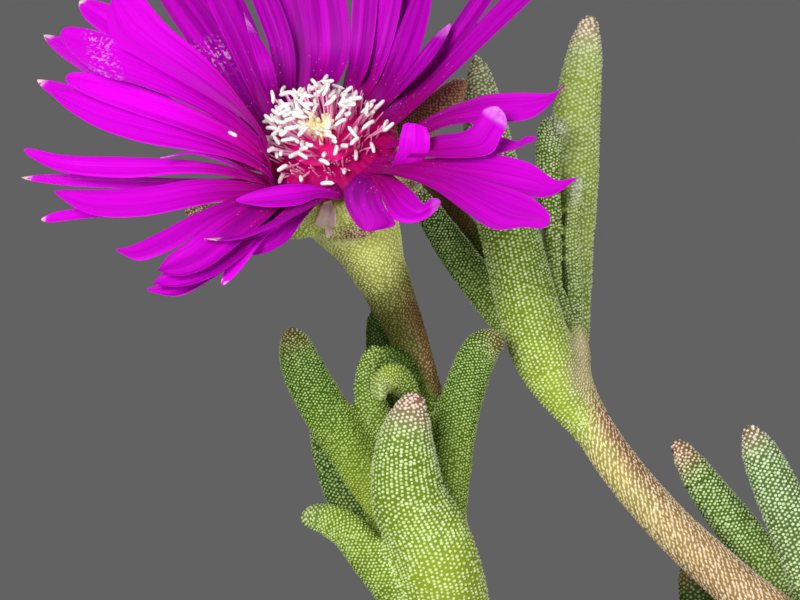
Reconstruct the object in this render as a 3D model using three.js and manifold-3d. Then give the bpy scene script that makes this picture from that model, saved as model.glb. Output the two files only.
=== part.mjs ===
// Potted ice plant: a clay pot of gritty soil with leafy shoots, one of which ends in a many-petalled magenta flower.
// Millimetres, +Z up. The origin is the centre of the pot's underside.

import * as THREE from "three";
import { mergeVertices } from "three/addons/utils/BufferGeometryUtils.js";
import Module from "manifold-3d";

const wasm = await Module();
wasm.setup();

// Driving dimensions, in millimetres
const FLOWER_SPAN = 50;
const GAP = 0.3;
const POT = {
  rimRadius: 50,
  rimDepth: 16,
  collarStep: 3,
  baseRadius: 34,
  height: 80,
  wall: 4.5,
  floor: 5,
  drainRadius: 5,
  segments: 28,
};
const SOIL = { level: 72, dome: 3, clod: 0.7, topRings: 4 };
const STEM_DEPTH = 16;

// The reference photograph: its pixels, at a known depth behind the target's plane, place what it shows
const PHOTO = {
  centreColumn: 400,
  centreRow: 300,
  spanPixels: 553,
  distance: 330,
  elevation: THREE.MathUtils.degToRad(15),
  target: new THREE.Vector3(-3, 0, 134),
};
const MM_PER_PIXEL = FLOWER_SPAN / PHOTO.spanPixels;
const VIEW = {
  right: new THREE.Vector3(1, 0, 0),
  up: new THREE.Vector3(0, Math.sin(PHOTO.elevation), Math.cos(PHOTO.elevation)),
  away: new THREE.Vector3(0, Math.cos(PHOTO.elevation), -Math.sin(PHOTO.elevation)),
};
const CAMERA = PHOTO.target.clone().addScaledVector(VIEW.away, -PHOTO.distance);

// The point that a pixel shows, depth millimetres behind the plane through the target
function seen([column, row, depth]) {
  const scale = MM_PER_PIXEL * (1 + depth / PHOTO.distance);
  return PHOTO.target
    .clone()
    .addScaledVector(VIEW.right, (column - PHOTO.centreColumn) * scale)
    .addScaledVector(VIEW.up, (PHOTO.centreRow - row) * scale)
    .addScaledVector(VIEW.away, depth);
}

// Flower frame: +Z is the flower's axis, +X is to the photograph's right and the origin is the ring of petal roots
const FLOWER = {
  centre: seen([331, 153, -4]),
  facing: THREE.MathUtils.degToRad(45),
  lean: THREE.MathUtils.degToRad(20),
  ringRadius: 6.3,
};
const FLOWER_AXIS = new THREE.Vector3()
  .addScaledVector(VIEW.right, -Math.sin(FLOWER.facing) * Math.sin(FLOWER.lean))
  .addScaledVector(VIEW.up, Math.sin(FLOWER.facing) * Math.cos(FLOWER.lean))
  .addScaledVector(VIEW.away, -Math.cos(FLOWER.facing));
const FLOWER_BACK = FLOWER_AXIS.clone().cross(VIEW.right).normalize();
const FLOWER_RIGHT = FLOWER_BACK.clone().cross(FLOWER_AXIS);
const FLOWER_MATRIX = new THREE.Matrix4()
  .makeBasis(FLOWER_RIGHT, FLOWER_BACK, FLOWER_AXIS)
  .setPosition(FLOWER.centre);

// The point of the flower's frame that a pixel shows, lift millimetres above the ring of petal roots
function seenInFlower(column, row, lift) {
  const ray = new THREE.Ray(CAMERA.clone(), seen([column, row, 0]).sub(CAMERA).normalize());
  ray.applyMatrix4(FLOWER_MATRIX.clone().invert());
  const plane = new THREE.Plane(new THREE.Vector3(0, 0, 1), -lift);
  return ray.intersectPlane(plane, new THREE.Vector3());
}

// A curve through points, root first
function path(points) {
  return new THREE.CatmullRomCurve3(points, false, "catmullrom", 0.5);
}

// A closed body round a curve. section(t, across, over) places a point of the unit circle; face is the side it shows
function sweep(curve, { sides, rings, face, section }) {
  const stops = Array.from({ length: rings }, (_, i) => Math.sin((Math.PI / 2) * (i / rings)));
  const outline = [
    new THREE.Vector2(0, 0),
    ...stops.map((t) => new THREE.Vector2(1, t)),
    new THREE.Vector2(0, 1),
  ];
  const geometry = new THREE.LatheGeometry(outline, sides);
  const frames = [];
  let side = curve.getTangent(0).cross(face).normalize();
  for (const { y: t } of outline) {
    const tangent = curve.getTangent(t);
    side = side.clone().addScaledVector(tangent, -side.dot(tangent)).normalize();
    frames.push({ centre: curve.getPoint(t), side, over: side.clone().cross(tangent) });
  }
  const position = geometry.attributes.position;
  for (let i = 0; i < position.count; i += 1) {
    const frame = frames[i % outline.length];
    const [across, over] = section(position.getY(i), position.getX(i), position.getZ(i));
    const point = frame.centre
      .clone()
      .addScaledVector(frame.side, across)
      .addScaledVector(frame.over, over);
    position.setXYZ(i, point.x, point.y, point.z);
  }
  return solidOf(geometry);
}

// A closed geometry as a solid, with the faces that a pole or seam shrinks to nothing left out
function solidOf(geometry) {
  const bare = geometry.clone();
  bare.deleteAttribute("normal");
  bare.deleteAttribute("uv");
  const merged = mergeVertices(bare, 1e-4);
  const corners = merged.index.array;
  const kept = [];
  for (let i = 0; i < corners.length; i += 3) {
    const [a, b, c] = corners.subarray(i, i + 3);
    if (a !== b && b !== c && c !== a) kept.push(a, b, c);
  }
  return new wasm.Manifold(
    new wasm.Mesh({
      numProp: 3,
      vertProperties: new Float32Array(merged.attributes.position.array),
      triVerts: new Uint32Array(kept),
    }),
  );
}

// Pieces grown together as one body, without loose scraps or sealed hollows
function fuse(pieces) {
  const bodies = pieces.reduce((whole, piece) => whole.add(piece)).decompose();
  return bodies.sort((a, b) => b.volume() - a.volume())[0];
}

function meshOf(name, solid, material) {
  const { vertProperties, triVerts } = solid.getMesh();
  const geometry = new THREE.BufferGeometry();
  geometry.setAttribute("position", new THREE.BufferAttribute(vertProperties, 3));
  geometry.setIndex(new THREE.BufferAttribute(triVerts, 1));
  geometry.computeVertexNormals();
  const mesh = new THREE.Mesh(geometry, material);
  mesh.name = name;
  return mesh;
}

function finish(color, roughness) {
  return new THREE.MeshStandardMaterial({ color, roughness, metalness: 0 });
}
const FINISHES = {
  clay: finish(0xb5653c, 0.85),
  soil: finish(0x3d2f24, 0.95),
  leaf: finish(0x6f9c3c, 0.45),
  petal: finish(0xd410dc, 0.5),
  stamen: finish(0xfbeee4, 0.6),
};

// Leaves and stems
const LEAF_FLATNESS = 0.78;
const UPPER_FACE = 0.62;

// Share of a leaf's full width at t: base at the root, full by a third of the way and tapering to a rounded tip
function leafWidth(t, base, blunt) {
  const root = THREE.MathUtils.lerp(base, 1, THREE.MathUtils.smoothstep(t, 0, 0.35));
  return root * (1 - 0.16 * t) * Math.max(1 - t ** blunt, 0) ** 0.52;
}

// A fleshy leaf, flatter above than below, its upper side towards face
function leaf(points, width, face, detail, { base = 0.85, blunt = 4.5 } = {}) {
  const half = width / 2;
  const section = (t, across, over) => {
    const share = Math.max(leafWidth(t, base, blunt), 0.12) * half;
    const thickness = over > 0 ? UPPER_FACE : 1;
    return [across * share, over * share * LEAF_FLATNESS * thickness];
  };
  return sweep(path(points), { ...detail, face, section });
}

// A round stem whose radius runs evenly through the given values, and extra makes its hole in the soil
function stem(points, radii, detail, extra = 0) {
  const section = (t, across, over) => {
    const place = Math.min(t, 0.9999) * (radii.length - 1);
    const step = Math.floor(place);
    const radius = THREE.MathUtils.lerp(radii[step], radii[step + 1], place - step) + extra;
    return [across * radius, over * radius];
  };
  return sweep(path(points), { ...detail, face: VIEW.away, section });
}

// Decussate pairs of leaves up a stem: each pair stands a quarter turn from the last and shortens towards the tip
function leafPairs(points, { first, last, count, turn, length, width, spread }, detail) {
  const curve = path(points);
  const leaves = [];
  for (let pair = 0; pair < count; pair += 1) {
    const share = count > 1 ? pair / (count - 1) : 1;
    const t = THREE.MathUtils.lerp(first, last, share);
    const along = curve.getTangent(t);
    const size = length * (1 - 0.45 * share ** 2);
    const angle = THREE.MathUtils.degToRad(spread * (1 - 0.5 * share));
    const outward = along.clone().cross(VIEW.right).normalize();
    outward.applyAxisAngle(along, THREE.MathUtils.degToRad(turn + 90 * pair));
    for (const way of [1, -1]) {
      const reach = outward.clone().multiplyScalar(way * size * Math.sin(angle));
      const rise = along.clone().multiplyScalar(size * Math.cos(angle));
      const leafPoints = [0, 0.35, 0.7, 1].map((s) =>
        curve
          .getPoint(t)
          .addScaledVector(reach, s * (1.3 - 0.3 * s))
          .addScaledVector(rise, s * (0.8 + 0.2 * s)),
      );
      const thinner = 1 - 0.3 * share;
      leaves.push(leaf(leafPoints, width * thinner, along, detail));
    }
  }
  return leaves;
}

const SHOWN_LEAF = { sides: 8, rings: 7 };
const PLAIN_LEAF = { sides: 6, rings: 4 };
const STEM_DETAIL = { sides: 6, rings: 7 };

// Shoots in the photograph. Each leaf runs from its root to its tip, as column, row and depth
const FLOWERING_SHOOT = {
  foot: [6, 1],
  stem: [
    [472, 700, 1],
    [462, 640, 1.5],
    [447, 560, 2],
    [438, 480, 3],
    [433, 425, 3.5],
    [424, 380, 4],
    [408, 335, 4],
    [391, 295, 2.5],
    [376, 260, 0.5],
    [362, 236, -1.2],
    [351, 212, -2.6],
  ],
  radii: [1.9, 2.0, 2.3, 2.7, 2.6, 1.7, 1.45, 1.5, 1.65, 2.15, 3.0, 4.0, 5.2],
  leaves: {
    front: { width: 7.7, base: 0.95, points: [[454, 640, 1], [437, 548, -3], [418, 462, -4.5], [416, 391, -4]] },
    right: { width: 4.3, base: 0.6, blunt: 6, points: [[446, 560, 2.5], [451, 470, 3.5], [467, 385, 3], [484, 340, 2.5], [507, 341, 2.5]] },
    left: { width: 4.4, blunt: 8, points: [[432, 560, 2], [395, 515, 1.5], [362, 468, 0], [325, 413, -1], [300, 362, -1], [291, 327, -0.5]] },
    leftBehind: { width: 4.0, points: [[436, 580, 2.5], [400, 540, 3.5], [350, 493, 4], [317, 452, 4], [300, 404, 3.5]] },
    lowerLeft: { width: 3.9, blunt: 7, points: [[430, 640, 0.5], [385, 578, -2], [352, 537, -2.5], [322, 518, -2], [297, 519, -1.5]] },
    behind: { width: 3.6, points: [[438, 520, 4], [410, 455, 8], [388, 380, 9.5], [375, 310, 9.5]] },
    youngLeft: { width: 2.3, points: [[404, 452, 1], [372, 418, -0.5], [361, 382, -1], [366, 353, -1], [377, 345, -0.5]] },
    youngRight: { width: 2.6, points: [[420, 452, 2], [427, 415, 0.5], [418, 378, 0], [400, 353, -0.2], [382, 346, -0.2]] },
    innermost: { width: 2.6, points: [[412, 442, 1], [409, 395, -1.2], [396, 370, -2.2], [382, 374, -3], [385, 398, -3.3]] },
  },
  pairs: { first: 0.115, last: 0.15, count: 2, turn: 20, length: 16, width: 4.2, spread: 66 },
};
const ARCHING_SHOOT = {
  foot: [37, -9],
  stem: [
    [822, 690, 4.5],
    [786, 628, 5],
    [741, 591, 5.5],
    [706, 560, 6],
    [674, 530, 6.5],
    [643, 496, 7],
    [615, 461, 7.5],
    [592, 425, 8],
    [578, 385, 8.5],
    [575, 350, 9],
    [573, 328, 9.3],
  ],
  radii: [2.2, 2.2, 2.15, 2.1, 2.0, 1.95, 1.85, 1.75, 1.7, 1.7, 1.4, 1.1],
  leaves: {
    front: { width: 6.0, base: 0.5, points: [[594, 446, 7.8], [561, 385, 6.6], [536, 325, 6.3], [512, 240, 6.8], [493, 150, 8.2], [478, 56, 9]] },
    long: { width: 4.9, base: 0.5, points: [[574, 372, 9.2], [571, 318, 11], [570, 250, 12], [571, 170, 12.6], [579, 75, 13], [590, 13, 13]] },
    left: { width: 3.8, base: 0.6, points: [[572, 385, 9.6], [514, 326, 11.5], [465, 265, 11.5], [435, 222, 11], [407, 178, 10]] },
    slender: { width: 2.2, points: [[572, 376, 9.8], [520, 306, 13.6], [476, 236, 14], [440, 196, 13.6]] },
    hooked: { width: 3.2, points: [[578, 345, 8.6], [561, 288, 7.8], [549, 222, 8], [545, 160, 8], [554, 126, 7.4], [567, 143, 6.4]] },
    partner: { width: 2.1, points: [[579, 345, 9.4], [574, 290, 9.2], [570, 240, 9.3], [573, 205, 9.3], [584, 176, 9]] },
  },
};
const EDGE_SHOOT = {
  foot: [32, 5],
  stem: [
    [800, 720, 11],
    [816, 660, 10],
    [824, 612, 9.5],
    [834, 575, 9],
  ],
  radii: [1.9, 2.0, 2.1, 2.2, 1.3],
  leaves: {
    lower: { width: 4.1, points: [[820, 634, 10], [772, 573, 11.5], [740, 532, 12], [706, 488, 12], [673, 441, 12]] },
    upper: { width: 4.6, points: [[826, 620, 9.2], [803, 553, 8.2], [781, 500, 8], [762, 460, 8], [747, 425, 8]] },
    outer: { width: 4.3, points: [[830, 620, 9.6], [856, 580, 9], [868, 520, 8.5], [870, 450, 8]] },
    back: { width: 4.0, points: [[832, 616, 10], [846, 570, 13], [850, 520, 14.5], [846, 470, 15]] },
    hidden: { width: 3.4, points: [[812, 672, 11], [762, 650, 13], [716, 610, 13.5], [690, 560, 13]] },
  },
};

// Shoots outside the photograph: foot and tip over the soil, and their rings of leaf pairs
const LOW_SHOOTS = [
  { foot: [-23, -2], tip: [-32, -6, 98], turn: 10, count: 4, length: 19 },
  { foot: [-9, -23], tip: [-15, -33, 100], turn: 70, count: 4, length: 20 },
  { foot: [11, -24], tip: [15, -34, 103], turn: 30, count: 4, length: 19 },
  { foot: [28, -17], tip: [34, -22, 98], turn: 55, count: 4, length: 15 },
  { foot: [-22, 17], tip: [-29, 24, 86], turn: 40, count: 3, length: 15 },
  { foot: [2, 25], tip: [0, 33, 84], turn: 15, count: 3, length: 14 },
];
// Shoots that arch out over the rim: foot, crest and tip
const TRAILING_SHOOTS = [
  { foot: [-26, -23], crest: [-34, -32, 88], tip: [-39, -39, 88], turn: 45, count: 3, length: 12 },
  { foot: [25, 25], crest: [32, 33, 85], tip: [37, 39, 82.5], turn: 45, count: 3, length: 10 },
];

function footOf([x, y], depth) {
  return new THREE.Vector3(x, y, SOIL.level - depth);
}

// The points of a stem from its foot in the soil, which its hole passes by extra
function stemPoints(foot, above, extra = 0) {
  return [footOf(foot, STEM_DEPTH + extra), footOf(foot, 0), ...above];
}

function shownShoot({ foot, stem: route, radii, leaves, pairs }) {
  const above = route.map(seen);
  const points = stemPoints(foot, above);
  const detail = { sides: 8, rings: 16 };
  const allRadii = [radii[0], ...radii];
  const grown = Object.values(leaves).map(({ width, points: places, ...shape }) =>
    leaf(places.map(seen), width, VIEW.away, SHOWN_LEAF, shape),
  );
  const lower = pairs ? leafPairs(points, pairs, PLAIN_LEAF) : [];
  return {
    pieces: [stem(points, allRadii, detail), ...grown, ...lower],
    hole: stem(stemPoints(foot, above, GAP), allRadii, detail, GAP),
  };
}

function lowShoot({ foot, crest, tip, turn, count, length }) {
  const top = new THREE.Vector3(...tip);
  const start = footOf(foot, 0);
  const middle = crest
    ? new THREE.Vector3(...crest)
    : start.clone().lerp(top, 0.5).add(new THREE.Vector3(0, 0, 4));
  const points = stemPoints(foot, [middle, top]);
  const bed = stemPoints(foot, [middle, top], GAP);
  const radii = [2, 2, 1.9, 1.6, 1.2];
  const pairs = { first: crest ? 0.5 : 0.42, last: 0.97, count, turn, length, width: 4.6, spread: 52 };
  return {
    pieces: [stem(points, radii, STEM_DETAIL), ...leafPairs(points, pairs, PLAIN_LEAF)],
    hole: stem(bed, radii, STEM_DETAIL, GAP),
  };
}

// The flower's green cup right under the petals, on top of its stalk, in the flower's frame
function calyxCup() {
  const outline = [
    [0, -8.5],
    [3.4, -8.5],
    [4.6, -7],
    [5.6, -4.5],
    [6.1, -2],
    [FLOWER.ringRadius, 0],
    [0, 0],
  ].map(([radius, z]) => new THREE.Vector2(radius, z));
  return inFlower(new THREE.LatheGeometry(outline, 16).rotateX(Math.PI / 2));
}

// A geometry drawn in the flower's frame, as a solid in the plant's
function inFlower(geometry) {
  return solidOf(geometry.applyMatrix4(FLOWER_MATRIX));
}

// Sepals under the petals, root first, as column, row and lift above the petal ring
const SEPALS = [
  { width: 4.0, points: [[338, 200, -4], [300, 222, -4.2], [240, 214, -3.6], [181, 211, -2.6]] },
  { width: 4.6, points: [[352, 190, -4], [360, 214, -4.6], [366, 228, -4.6], [371, 236, -4]] },
  { width: 3.6, points: [[375, 170, -4], [398, 180, -3.8], [416, 185, -3], [430, 188, -2.2]] },
  { width: 3.8, points: [[370, 150, -4], [410, 128, -3.6], [436, 104, -2.4], [464, 77, -1.4]] },
  { width: 5.2, points: [[352, 145, -4], [362, 105, -3.4], [374, 45, -2.4], [384, -22, -1.4]] },
];

function sepal({ width, points: places }) {
  const points = places.map((place) => seenInFlower(...place).applyMatrix4(FLOWER_MATRIX));
  return leaf(points, width, FLOWER_AXIS, PLAIN_LEAF);
}

// Petals the photograph shows: root, bend and tip as column and row, the lifts of bend and tip over the ring, and
// curled for those that turn up to face the viewer
const PETAL_THICKNESS = 0.7;
const SHOWN_PETALS = [
  { root: [264, 182], bend: [150, 169], tip: [25, 152], lifts: [3, 4.6], width: 2.5 },
  { root: [262, 186], bend: [140, 183], tip: [22, 179], lifts: [1.8, 2.6], width: 2.2 },
  { root: [270, 192], bend: [165, 200], tip: [56, 198], lifts: [4, 5], width: 3.3 },
  { root: [266, 192], bend: [150, 203], tip: [41, 219], lifts: [2.2, 2.4], width: 2.4 },
  { root: [274, 196], bend: [195, 226], tip: [118, 250], lifts: [4.4, 4.4], width: 2.7 },
  { root: [284, 200], bend: [225, 238], tip: [158, 271], lifts: [4.8, 5], width: 2.9 },
  { root: [296, 204], bend: [232, 258], tip: [148, 288], lifts: [3.4, 3], width: 3.0 },
  { root: [306, 206], bend: [254, 240], tip: [222, 286], lifts: [3.4, 3.2], width: 1.7 },
  { root: [334, 204], bend: [296, 205], tip: [206, 237], lifts: [5.2, 6.6], width: 2.4, curled: true },
  { root: [328, 206], bend: [302, 218], tip: [252, 250], lifts: [3.6, 4], width: 2.8 },
  { root: [344, 204], bend: [320, 196], tip: [258, 212], lifts: [4.4, 6], width: 2.4, curled: true },
  { root: [264, 168], bend: [170, 138], tip: [38, 82], lifts: [3, 5.5], width: 2.9 },
  { root: [266, 162], bend: [165, 122], tip: [63, 80], lifts: [4.8, 8], width: 3.1 },
  { root: [262, 156], bend: [170, 104], tip: [45, 34], lifts: [4, 6.6], width: 2.7 },
  { root: [266, 150], bend: [165, 92], tip: [58, 28], lifts: [5.6, 9.4], width: 3.1 },
  { root: [268, 142], bend: [180, 74], tip: [78, -1], lifts: [4.8, 9], width: 3.0 },
  { root: [274, 134], bend: [190, 58], tip: [112, -18], lifts: [6.6, 11], width: 3.1 },
  { root: [276, 128], bend: [212, 46], tip: [138, -42], lifts: [5, 9], width: 3.0 },
  { root: [284, 122], bend: [228, 34], tip: [168, -58], lifts: [6.6, 11.4], width: 3.0 },
  { root: [290, 118], bend: [250, 40], tip: [200, -66], lifts: [5, 9.4], width: 2.8 },
  { root: [297, 113], bend: [272, 20], tip: [240, -78], lifts: [6, 11], width: 2.7 },
  { root: [306, 110], bend: [290, 18], tip: [268, -84], lifts: [5, 9], width: 2.5 },
  { root: [316, 108], bend: [312, 10], tip: [300, -90], lifts: [6.2, 11], width: 2.7 },
  { root: [325, 106], bend: [328, 12], tip: [322, -94], lifts: [5, 9], width: 2.6 },
  { root: [336, 105], bend: [337, 8], tip: [336, -92], lifts: [6.4, 11.4], width: 2.4 },
  { root: [346, 105], bend: [361, 8], tip: [366, -92], lifts: [6.2, 11], width: 2.6 },
  { root: [353, 106], bend: [374, 10], tip: [388, -88], lifts: [5, 9], width: 2.7 },
  { root: [361, 107], bend: [392, 8], tip: [412, -84], lifts: [6.4, 11], width: 2.8 },
  { root: [369, 110], bend: [404, 20], tip: [436, -76], lifts: [5, 9], width: 2.6 },
  { root: [376, 113], bend: [426, 12], tip: [456, -70], lifts: [6.4, 11], width: 2.7 },
  { root: [382, 118], bend: [438, 30], tip: [474, -58], lifts: [5, 9], width: 2.5 },
  { root: [388, 124], bend: [458, 26], tip: [508, -46], lifts: [6.2, 10.4], width: 2.6 },
  { root: [393, 130], bend: [470, 44], tip: [541, -14], lifts: [5, 9], width: 3.0 },
  { root: [398, 144], bend: [480, 107], tip: [564, 87], lifts: [4.4, 5.2], width: 2.8 },
  { root: [399, 152], bend: [470, 144], tip: [538, 138], lifts: [3.6, 5], width: 2.3 },
  { root: [399, 156], bend: [478, 152], tip: [494, 107], lifts: [5, 7.8], width: 3.1, curled: true },
  { root: [398, 160], bend: [490, 172], tip: [575, 178], lifts: [4.2, 4.6], width: 3.1 },
  { root: [397, 164], bend: [472, 186], tip: [549, 216], lifts: [5, 6], width: 3.0 },
  { root: [395, 168], bend: [456, 196], tip: [544, 229], lifts: [3.8, 4.6], width: 3.3 },
  { root: [398, 158], bend: [414, 152], tip: [413, 120], lifts: [4, 6.6], width: 3.1, curled: true },
  { root: [384, 182], bend: [408, 198], tip: [437, 202], lifts: [6, 6], width: 3.6 },
  { root: [364, 196], bend: [366, 200], tip: [373, 231], lifts: [5.6, 4.6], width: 4.2 },
];
// Share of a petal's full width at t: a narrow claw, widest past the middle, and a rounded tip
function petalWidth(t) {
  const claw = 0.36 + 0.64 * THREE.MathUtils.smoothstep(t, 0.05, 0.7);
  return claw * Math.max(1 - t ** 7, 0) ** 0.5;
}

// A petal between points of the flower's frame, its root drawn in to the core
function petal(root, bend, end, width, face = FLOWER_AXIS) {
  const rootWay = root.clone().setZ(0).normalize();
  const claw = rootWay.clone().multiplyScalar(FLOWER.ringRadius - 1.9).setZ(1.1);
  const throat = rootWay.clone().multiplyScalar(FLOWER.ringRadius + 0.6).setZ(1.3 + 0.1 * bend.z);
  const section = (t, x, over) => {
    const half = (width / 2) * Math.max(petalWidth(t), 0.2);
    return [x * Math.SQRT2 * half, (over * Math.SQRT2 * PETAL_THICKNESS) / 2];
  };
  const points = [claw, throat, bend, end].map((point) => point.clone().applyMatrix4(FLOWER_MATRIX));
  return sweep(path(points), { sides: 4, rings: 6, face, section });
}

function shownPetal({ root, bend, tip, lifts, width, curled }) {
  const start = seenInFlower(...root, 1.2);
  const face = curled ? VIEW.away.clone().negate() : FLOWER_AXIS;
  return petal(start, seenInFlower(...bend, lifts[0]), seenInFlower(...tip, lifts[1]), width, face);
}

function around(degrees, radius, lift) {
  const angle = THREE.MathUtils.degToRad(degrees);
  return new THREE.Vector3(radius * Math.cos(angle), radius * Math.sin(angle), lift);
}

function petals() {
  const disc = [
    [3.3, GAP],
    [FLOWER.ringRadius - 0.1, GAP],
    [FLOWER.ringRadius, 0.9],
    [FLOWER.ringRadius - 1, 1.5],
    [3.6, 1.7],
    [3.3, GAP],
  ].map(([radius, z]) => new THREE.Vector2(radius, z));
  const core = inFlower(new THREE.LatheGeometry(disc, 24).rotateX(Math.PI / 2));
  return fuse([core, ...SHOWN_PETALS.map(shownPetal)]);
}

// Stamens: rings of slim filaments, each with a thicker anther at its end, on a low mound with the styles
const STAMEN_RINGS = [
  { count: 8, root: 1.0, reach: 2.0, height: 5.6, turn: 10 },
  { count: 14, root: 1.7, reach: 3.9, height: 5.0, turn: 0 },
  { count: 17, root: 2.3, reach: 5.4, height: 3.9, turn: 8 },
];
const FILAMENT_RADIUS = 0.2;
const ANTHER_RADIUS = 0.34;

function stamen(degrees, { root, reach, height }, stray) {
  const foot = around(degrees, root, 1.6);
  const waist = around(degrees, (root + reach) * 0.42, 0.6 * height + stray * 0.4);
  const tip = around(degrees + stray * 9, reach, height + stray * 0.6);
  const section = (t, x, over) => {
    const radius = t > 0.7 ? ANTHER_RADIUS : FILAMENT_RADIUS;
    return [x * radius, over * radius];
  };
  const points = [foot, waist, tip].map((point) => point.applyMatrix4(FLOWER_MATRIX));
  return sweep(path(points), { sides: 3, rings: 4, face: FLOWER_RIGHT, section });
}

function stamens() {
  const mound = [
    [0, GAP],
    [3, GAP],
    [3, 1.8],
    [1.6, 2.9],
    [0, 3.2],
  ].map(([radius, z]) => new THREE.Vector2(radius, z));
  const core = inFlower(new THREE.LatheGeometry(mound, 12).rotateX(Math.PI / 2));
  const grown = STAMEN_RINGS.flatMap((ring) =>
    Array.from({ length: ring.count }, (_, i) => {
      const stray = Math.sin(2.4 * i + ring.turn);
      return stamen((360 / ring.count) * i + ring.turn, ring, stray);
    }),
  );
  return fuse([core, ...grown]);
}

// Clay pot: a tapered wall under a deeper collar, open at the top, with a drain hole in its floor
function pot() {
  const { rimRadius, rimDepth, collarStep, baseRadius, height, wall, floor, drainRadius, segments } = POT;
  const underCollar = height - rimDepth;
  const outline = [
    [drainRadius, 0],
    [baseRadius - 1.5, 0],
    [baseRadius, 1.5],
    [rimRadius - collarStep, underCollar],
    [rimRadius - 0.8, underCollar + 0.6],
    [rimRadius, height - 2],
    [rimRadius - 1.5, height],
    [rimRadius - wall + 1, height],
    [rimRadius - wall, height - 1.5],
    [rimRadius - collarStep - wall, underCollar - 3],
    [baseRadius - wall, floor + 2],
    [baseRadius - wall - 2, floor],
    [drainRadius, floor],
    [drainRadius, 0],
  ].map(([radius, z]) => new THREE.Vector2(radius, z));
  return solidOf(new THREE.LatheGeometry(outline, segments).rotateX(Math.PI / 2));
}

// Soil to just below the rim, fitted inside the pot, with a clodded top and a hole for each stem
function soil(holes) {
  const { rimRadius, rimDepth, collarStep, baseRadius, height, wall, floor, segments } = POT;
  const { level, dome, clod, topRings } = SOIL;
  const edge = level - dome;
  const innerTop = [rimRadius - wall, height - 1.5];
  const innerKnee = [rimRadius - collarStep - wall, height - rimDepth - 3];
  const share = (edge - innerKnee[1]) / (innerTop[1] - innerKnee[1]);
  const edgeRadius = THREE.MathUtils.lerp(innerKnee[0], innerTop[0], share) - GAP;
  const top = Array.from({ length: topRings }, (_, i) => {
    const radius = edgeRadius * (1 - (i + 1) / (topRings + 1));
    return [radius, level - dome * (radius / edgeRadius) ** 2];
  });
  const outline = [
    [0, floor + GAP],
    [baseRadius - wall - 2 - GAP, floor + GAP],
    [baseRadius - wall - GAP, floor + 2 + GAP],
    [innerKnee[0] - GAP, innerKnee[1]],
    [edgeRadius, edge],
    ...top,
    [0, level],
  ].map(([radius, z]) => new THREE.Vector2(radius, z));
  const geometry = new THREE.LatheGeometry(outline, segments).rotateX(Math.PI / 2);
  const position = geometry.attributes.position;
  for (let i = 0; i < position.count; i += 1) {
    const [x, y, z] = [position.getX(i), position.getY(i), position.getZ(i)];
    const raise = z > edge + 0.1 ? clod * Math.sin(x / 3.1 + 1.7 * Math.sin(y / 4.3)) * Math.cos(y / 3.7) : 0;
    position.setZ(i, z + raise);
  }
  return holes.reduce((body, hole) => body.subtract(hole), solidOf(geometry));
}

const flowering = shownShoot(FLOWERING_SHOOT);
flowering.pieces.push(calyxCup(), ...SEPALS.map(sepal));
const shoots = {
  flowering_shoot: flowering,
  arching_shoot: shownShoot(ARCHING_SHOOT),
  edge_shoot: shownShoot(EDGE_SHOOT),
};
LOW_SHOOTS.forEach((shape, i) => {
  shoots[`low_shoot_${i + 1}`] = lowShoot(shape);
});
TRAILING_SHOOTS.forEach((shape, i) => {
  shoots[`trailing_shoot_${i + 1}`] = lowShoot(shape);
});

const plant = new THREE.Group();
plant.add(meshOf("pot", pot(), FINISHES.clay));
plant.add(meshOf("soil", soil(Object.values(shoots).map(({ hole }) => hole)), FINISHES.soil));
for (const [name, { pieces }] of Object.entries(shoots)) {
  plant.add(meshOf(name, fuse(pieces), FINISHES.leaf));
}
plant.add(meshOf("petals", petals(), FINISHES.petal));
plant.add(meshOf("stamens", stamens(), FINISHES.stamen));

export default plant;
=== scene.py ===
"""Looks of the potted ice plant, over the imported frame.

Shapes are worked out in millimetres and built in metres.
"""

import math

import bpy
import numpy as np
from mathutils import Matrix, Vector
from mathutils.bvhtree import BVHTree
from mathutils.kdtree import KDTree


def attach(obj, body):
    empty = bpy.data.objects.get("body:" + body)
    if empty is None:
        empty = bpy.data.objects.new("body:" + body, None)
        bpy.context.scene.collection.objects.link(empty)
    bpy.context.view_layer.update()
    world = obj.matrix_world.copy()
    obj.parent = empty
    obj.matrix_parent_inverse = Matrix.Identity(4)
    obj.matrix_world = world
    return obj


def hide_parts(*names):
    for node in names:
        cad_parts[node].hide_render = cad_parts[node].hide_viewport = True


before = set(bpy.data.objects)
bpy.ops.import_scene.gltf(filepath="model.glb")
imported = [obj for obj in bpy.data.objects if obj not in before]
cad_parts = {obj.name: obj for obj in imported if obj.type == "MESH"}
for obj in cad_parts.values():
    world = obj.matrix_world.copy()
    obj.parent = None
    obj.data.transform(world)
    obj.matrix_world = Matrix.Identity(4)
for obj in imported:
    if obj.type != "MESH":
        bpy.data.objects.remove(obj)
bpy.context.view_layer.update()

SEED = 20
rng = np.random.default_rng(SEED)

# Driving dimensions, in millimetres, as in the part's source
FLOWER_SPAN = 50
POT = {
    "rim_radius": 50,
    "rim_depth": 16,
    "collar_step": 3,
    "base_radius": 34,
    "height": 80,
    "wall": 4.5,
    "floor": 5,
    "drain_radius": 5,
}
SOIL = {"level": 72, "dome": 3, "edge_radius": 43.3, "clod": 0.5}
STEM_DEPTH = 16

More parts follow.
